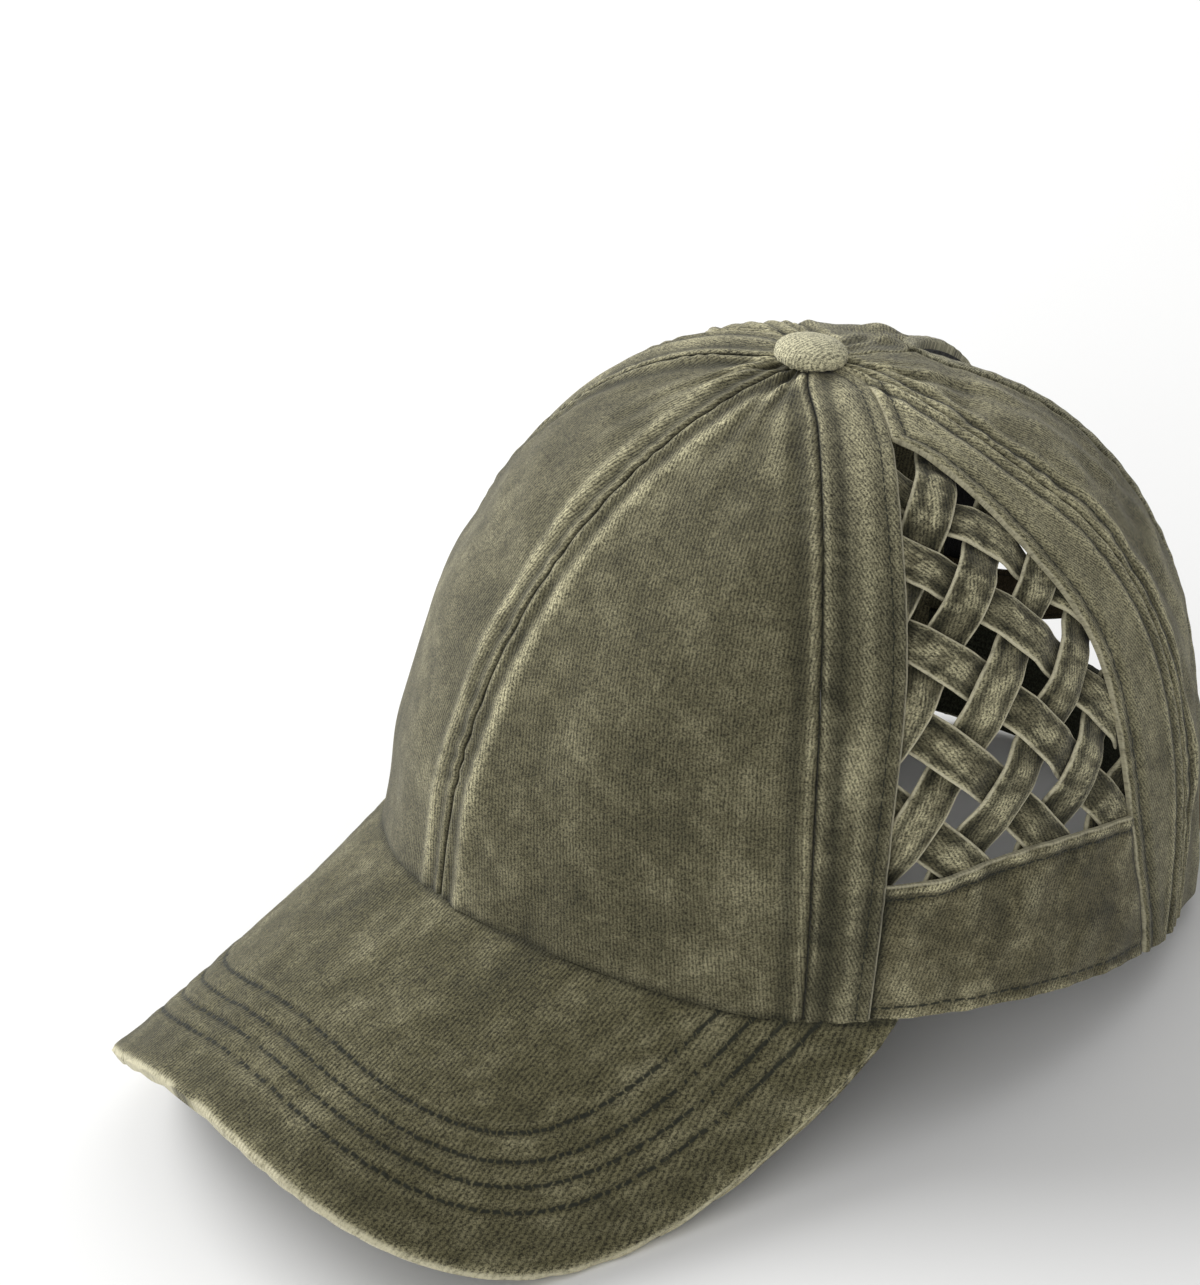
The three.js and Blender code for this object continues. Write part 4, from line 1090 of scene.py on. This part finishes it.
def ribbonPath(heights, depths, bow, bend, s):
    left, right = heights
    c = np.clip(s, 0, 1)
    rise = c ** bend if right > left else 1 - (1 - c) ** bend
    share = shareOfHeight(left + (right - left) * rise)
    low = openingSeam(share)
    angle = low + (360 - 2 * low) * c + (s - c) / sideStep(low, share)
    return angle, share, depths[0] + (depths[1] - depths[0]) * c + bow * np.sin(np.pi * c)


def makeRibbon(name, settings):
    tuck = np.linspace(0, elastic["tuck"], 5)[1:]
    s = np.concatenate([-tuck[::-1], np.linspace(0, 1, 90), 1 + tuck])
    angle, share, depth = ribbonPath(s=s, **settings)
    normal = crownNormal(angle, share)
    line = crownPoint(angle, share) - normal * depth[:, None]
    along = unit(np.gradient(line, axis=0))
    wide = unit(np.cross(normal, along))
    face = unit(np.cross(along, wide))
    face = (face * np.sign(np.sum(face * normal, -1))[:, None])[:, None, :]
    w = np.linspace(-1, 1, 13)[None, :]
    half = elastic["width"] / 2
    grid = line[:, None, :] + wide[:, None, :] * (w * half)[..., None]
    edge = (1 - np.abs(w) ** 6 * elastic["taper"])[..., None] * elastic["thickness"] / 2
    marks = stacked((w + 1) * half, (1 - w) * half, lengthsAcross(line[:, None, :], 0))
    sewMesh("ribbon_" + name, name, "elastic", elasticCloth, grid + face * edge, grid - face * edge,
            {"seams": marks, "cloth": marks})


for name, settings in ribbons.items():
    makeRibbon(name, settings)
print("elastic ribbons done")


# Closing strap and fastener strap

strap = {
    "bottom": 0.6, "top": 23, "thickness": 2.2, "innerTop": 26.5, "innerThickness": 1.4, "tuck": 10,
    "clear": 0.3, "edgeDrop": 0.8, "edgeWidth": 1.3, "groove": 0.3, "grooveWidth": 0.7}
strapFrom = float(beside(openingSeam, np.array(0.05), 0.7))
innerFrom = float(beside(openingSeam, np.array(0.05), -strap["tuck"]))
innerDepth = strap["thickness"] + strap["clear"]
# The strap's darks are painted shade in its stitch grooves
strapCloth = washedCloth(
    "strapTwill", base=(0.085, 0.08, 0.045, 1), wear=0.02, ridges=[("along", 0.0, 1.6, 0.6)],
    cream=[("top", 1.3, 0.8), ("to", 1.2, 0.7), ("from", 1.0, 0.5)],
    darks=[("along", 2.2, 0.8, 0.4), ("along", 20.0, 0.8, 0.5), ("to", 2.4, 0.8, 0.5)])
fastenerCloth = ribbedCloth("loopFastener", (0.016, 0.018, 0.01, 1), (0.06, 0.063, 0.04, 1), 1.6, 0.6)


def strapPiece(node, slotName, material, start, low, high, depths, relief):
    angle, share = np.meshgrid(np.linspace(start, 360 - start, 120),
                               shareOfHeight(np.linspace(low, high, 22)))
    base = crownPoint(angle, share)
    marks = edgeMarks(base)
    rise = relief(sidesOf(marks), base)
    # The relief height drives crest paling (wear and painted highlight) and painted shade on the dropped
    # edges and grooves
    marks["wearAndPaintedLight"][..., 0] = rise
    sewMesh("cloth_" + node, node, slotName, material, skin(angle, share, depths[0] - rise),
            skin(angle, share, depths[1] + 0 * rise), marks)


def strapRelief(side, points):
    low, toEnd = side["along"], side["to"]
    high = low.max() - low
    border = np.minimum(np.minimum(low, high), np.minimum(side["from"], toEnd))
    grooves = lump(low, 2.4, strap["grooveWidth"]) + lump(high, 2.6, strap["grooveWidth"]) + lump(
        toEnd, 2.4, strap["grooveWidth"])
    return (0.22 * ripple(points, 20, 141) + 0.15 * ripple(points, 6, 142) - strap["groove"] * grooves
            - strap["edgeDrop"] * np.clip(1 - border / strap["edgeWidth"], 0, 1) ** 2)


strapPiece("strap_outer", "strap", strapCloth, strapFrom, strap["bottom"], strap["top"],
           (0.0, strap["thickness"]), strapRelief)
strapPiece("strap_inner", "fastener", fastenerCloth, innerFrom, strap["bottom"] + 1, strap["innerTop"],
           (innerDepth, innerDepth + strap["innerThickness"]),
           lambda side, points: 0.2 * ripple(points, 5, 143))


# Leather tab, folded round the end of the strap

tab = {
    "width": 13, "bottom": 0.9, "top": 22, "thickness": 1.2, "legGap": 1.1, "clear": 0.3, "bend": 2.4,
    "wave": 0.25, "brown": (0.13, 0.055, 0.024, 1), "paleBrown": (0.21, 0.1, 0.05, 1),
    "scuffed": (0.3, 0.17, 0.1, 1), "scuffShare": 0.5, "bump": 0.35, "distance": 0.0005}


def tabLeather():
    material, tree, shader = newMaterial("tabLeather")
    place = placeInMillimetres(tree)
    grain = addNode(tree, "TexVoronoi", (("Vector", place), ("Scale", 1.3)))["Distance"]
    scuff = noise(tree, place, 0.5, 5, 0.7)
    blotch = noise(tree, place, 0.14, 3, 0.6)
    colour = blendColour(tree, ramp(tree, blotch, 0.35, 0.7), tab["brown"], tab["paleBrown"])
    scuffed = times(tree, ramp(tree, scuff, 0.62, 0.75), tab["scuffShare"])
    colour = blendColour(tree, scuffed, colour, tab["scuffed"])
    height = plus(tree, grain, times(tree, scuff, 0.6))
    roughness = ramp(tree, scuff, 0.3, 0.7, 0.5, 0.75)
    finishShader(tree, shader, colour, roughness, height, tab["bump"], tab["distance"])
    return material


def tabPath():
    # run along the strap, height above it and the way outward, from the inner leg to the outer one
    innerLeg = tab["clear"] + tab["thickness"] / 2
    outerLeg = tab["clear"] + tab["thickness"] * 1.5 + tab["legGap"]
    radius, middle = (outerLeg - innerLeg) / 2, (outerLeg + innerLeg) / 2
    leg = np.linspace(0.4, tab["width"] - tab["bend"], 8)
    centre = tab["width"] - radius - tab["thickness"] / 2
    path = [(x, innerLeg, 0, -1) for x in leg]
    path += [(centre + radius * np.cos(turn), middle + radius * np.sin(turn), np.cos(turn), np.sin(turn))
             for turn in np.linspace(-np.pi / 2, np.pi / 2, 13)]
    return np.array(path + [(x, outerLeg, 0, 1) for x in leg[::-1]])


def makeTab():
    x, out, outX, outZ = tabPath().T[:, None, :]
    height = np.linspace(tab["bottom"], tab["top"], 20)[:, None]
    share = shareOfHeight(height)
    sheets = []
    for face in (tab["thickness"] / 2, -tab["thickness"] / 2):
        run = x + outX * face
        lift = out + outZ * face + tab["wave"] * np.sin(height / 6) * (run / 13)
        sheets.append(skin(strapFrom + run / sideStep(strapFrom, share), share + 0 * run, -lift))
    sewMesh("leather_leather_tab", "leather_tab", "leather", tabLeather(), *sheets, edgeMarks(sheets[0]))


makeTab()
print("strap and tab done")


# Covered button

button = {
    "radius": 8, "dome": 5.2, "rim": 2.0, "stem": 5.2, "foot": -1.2, "base": 0.3, "around": 72,
    "gather": 0.18, "gathers": 17, "gatherRings": 6}


def buttonProfile():
    radius, rim, base = button["radius"], button["rim"], button["base"]
    profile = [(0.0, button["foot"]), (button["stem"], button["foot"]), (button["stem"], base),
               (radius - 0.7, base), (radius - 0.2, 0.6), (radius, 1.3), (radius, rim)]
    for turn in np.arange(1, 14) / 14 * np.pi / 2:
        profile.append((radius * np.cos(turn) ** 0.9, rim + base + (button["dome"] - rim) * np.sin(turn)))
    return profile + [(0.0, base + button["dome"])]


def makeButton():
    profile, around = buttonProfile(), button["around"]
    points, faces, cloth, run = [(0, 0, profile[0][1])], [], [(0, 0, 0)], 0
    for k, (r, z) in enumerate(profile[1:-1]):
        run += np.hypot(r - profile[k][0], z - profile[k][1])
        gather = button["gather"] if k < button["gatherRings"] else 0
        for turn in 2 * np.pi * np.arange(around) / around:
            out = r + gather * np.sin(turn * button["gathers"])
            points.append((out * np.cos(turn), out * np.sin(turn), z))
            cloth.append((r * np.cos(turn), r * np.sin(turn), run))
    points.append((0, 0, profile[-1][1]))
    cloth.append((0, 0, run))
    top, rings = len(points) - 1, len(profile) - 2
    for i in range(around):
        j = (i + 1) % around
        faces.append((0, 1 + j, 1 + i))
        for a in range(1, 1 + (rings - 1) * around, around):
            faces.append((a + i, a + j, a + around + j, a + around + i))
        a = 1 + (rings - 1) * around
        faces.append((a + i, a + j, top))
    place = np.array(points) + np.array([0, -crown["apexForward"], crown["height"]])
    material = washedCloth("buttonTwill", base=(0.42, 0.4, 0.28, 1), wear=0.6, pitch=0.8, patches=0.5,
                           bump=0.2)
    cloth = np.array(cloth)
    # The first mark rises with x, so the crest paling makes the button faintly paler towards +x
    finishMesh("cloth_button", "button", material, toRow(place), faces,
               {"cloth": cloth, "seams": cloth + [20, 20, 0], "wearAndPaintedLight": 0.15 * cloth / 8 + [0.1, 0, 0]})


makeButton()
print("button done")


# Floor, light and camera

stageSet = {"floor": (0.88, 0.88, 0.875, 1), "floorSize": 6, "world": 0.43, "aim": (0, 0, 0.07)}
lamps = {
    "keyLight": {"place": (-1.35, -0.45, 1.15), "size": (1.1, 1.1), "power": 33},
    "fillLight": {"place": (1.3, -1.4, 0.9), "size": (1.6, 1.2), "power": 11},
    "topLight": {"place": (0.2, 0.5, 1.7), "size": (1.4, 1.4), "power": 3}}
photoCamera = {
    "place": (1.1874971, -0.6972697, 0.9347049), "turn": (58.2610082, 7.8417308, 54.9870902),
    "lens": 207.97354, "sensor": 36, "reach": 50}


def makeFloor():
    size = stageSet["floorSize"]
    mesh = bpy.data.meshes.new("studioFloor")
    corners = [(x * size, y * size, 0) for x, y in ((-1, -1), (1, -1), (1, 1), (-1, 1))]
    mesh.from_pydata(corners, [], [(0, 1, 2, 3)])
    material, _, shader = newMaterial("paleFloor")
    shader["Base Color"].default_value = stageSet["floor"]
    shader["Roughness"].default_value = 0.9
    mesh.materials.append(material)
    addObject("studioFloor", mesh)


def makeCamera():
    data = bpy.data.cameras.new("photoCamera")
    data.lens, data.sensor_width, data.clip_end = (photoCamera[key] for key in ("lens", "sensor", "reach"))
    camera = addObject("photoCamera", data)
    camera.location = photoCamera["place"]
    camera.rotation_euler = np.radians(photoCamera["turn"])
    bpy.context.scene.camera = camera


def softBox(name, place, size, power):
    data = bpy.data.lights.new(name, "AREA")
    data.shape = "RECTANGLE"
    data.size, data.size_y = size
    data.energy = power
    lamp = addObject(name, data)
    lamp.location = place
    lamp.rotation_euler = (Vector(stageSet["aim"]) - Vector(place)).to_track_quat("-Z", "Y").to_euler()


makeFloor()
makeCamera()
for name, settings in lamps.items():
    softBox(name, **settings)
world = bpy.data.worlds.new("paleStudio")
world.use_nodes = True
world.node_tree.nodes["Background"].inputs[0].default_value = (1, 1, 1, 1)
world.node_tree.nodes["Background"].inputs[1].default_value = stageSet["world"]
bpy.context.scene.world = world
bpy.context.scene.view_settings.view_transform = "Standard"
print("stage set")
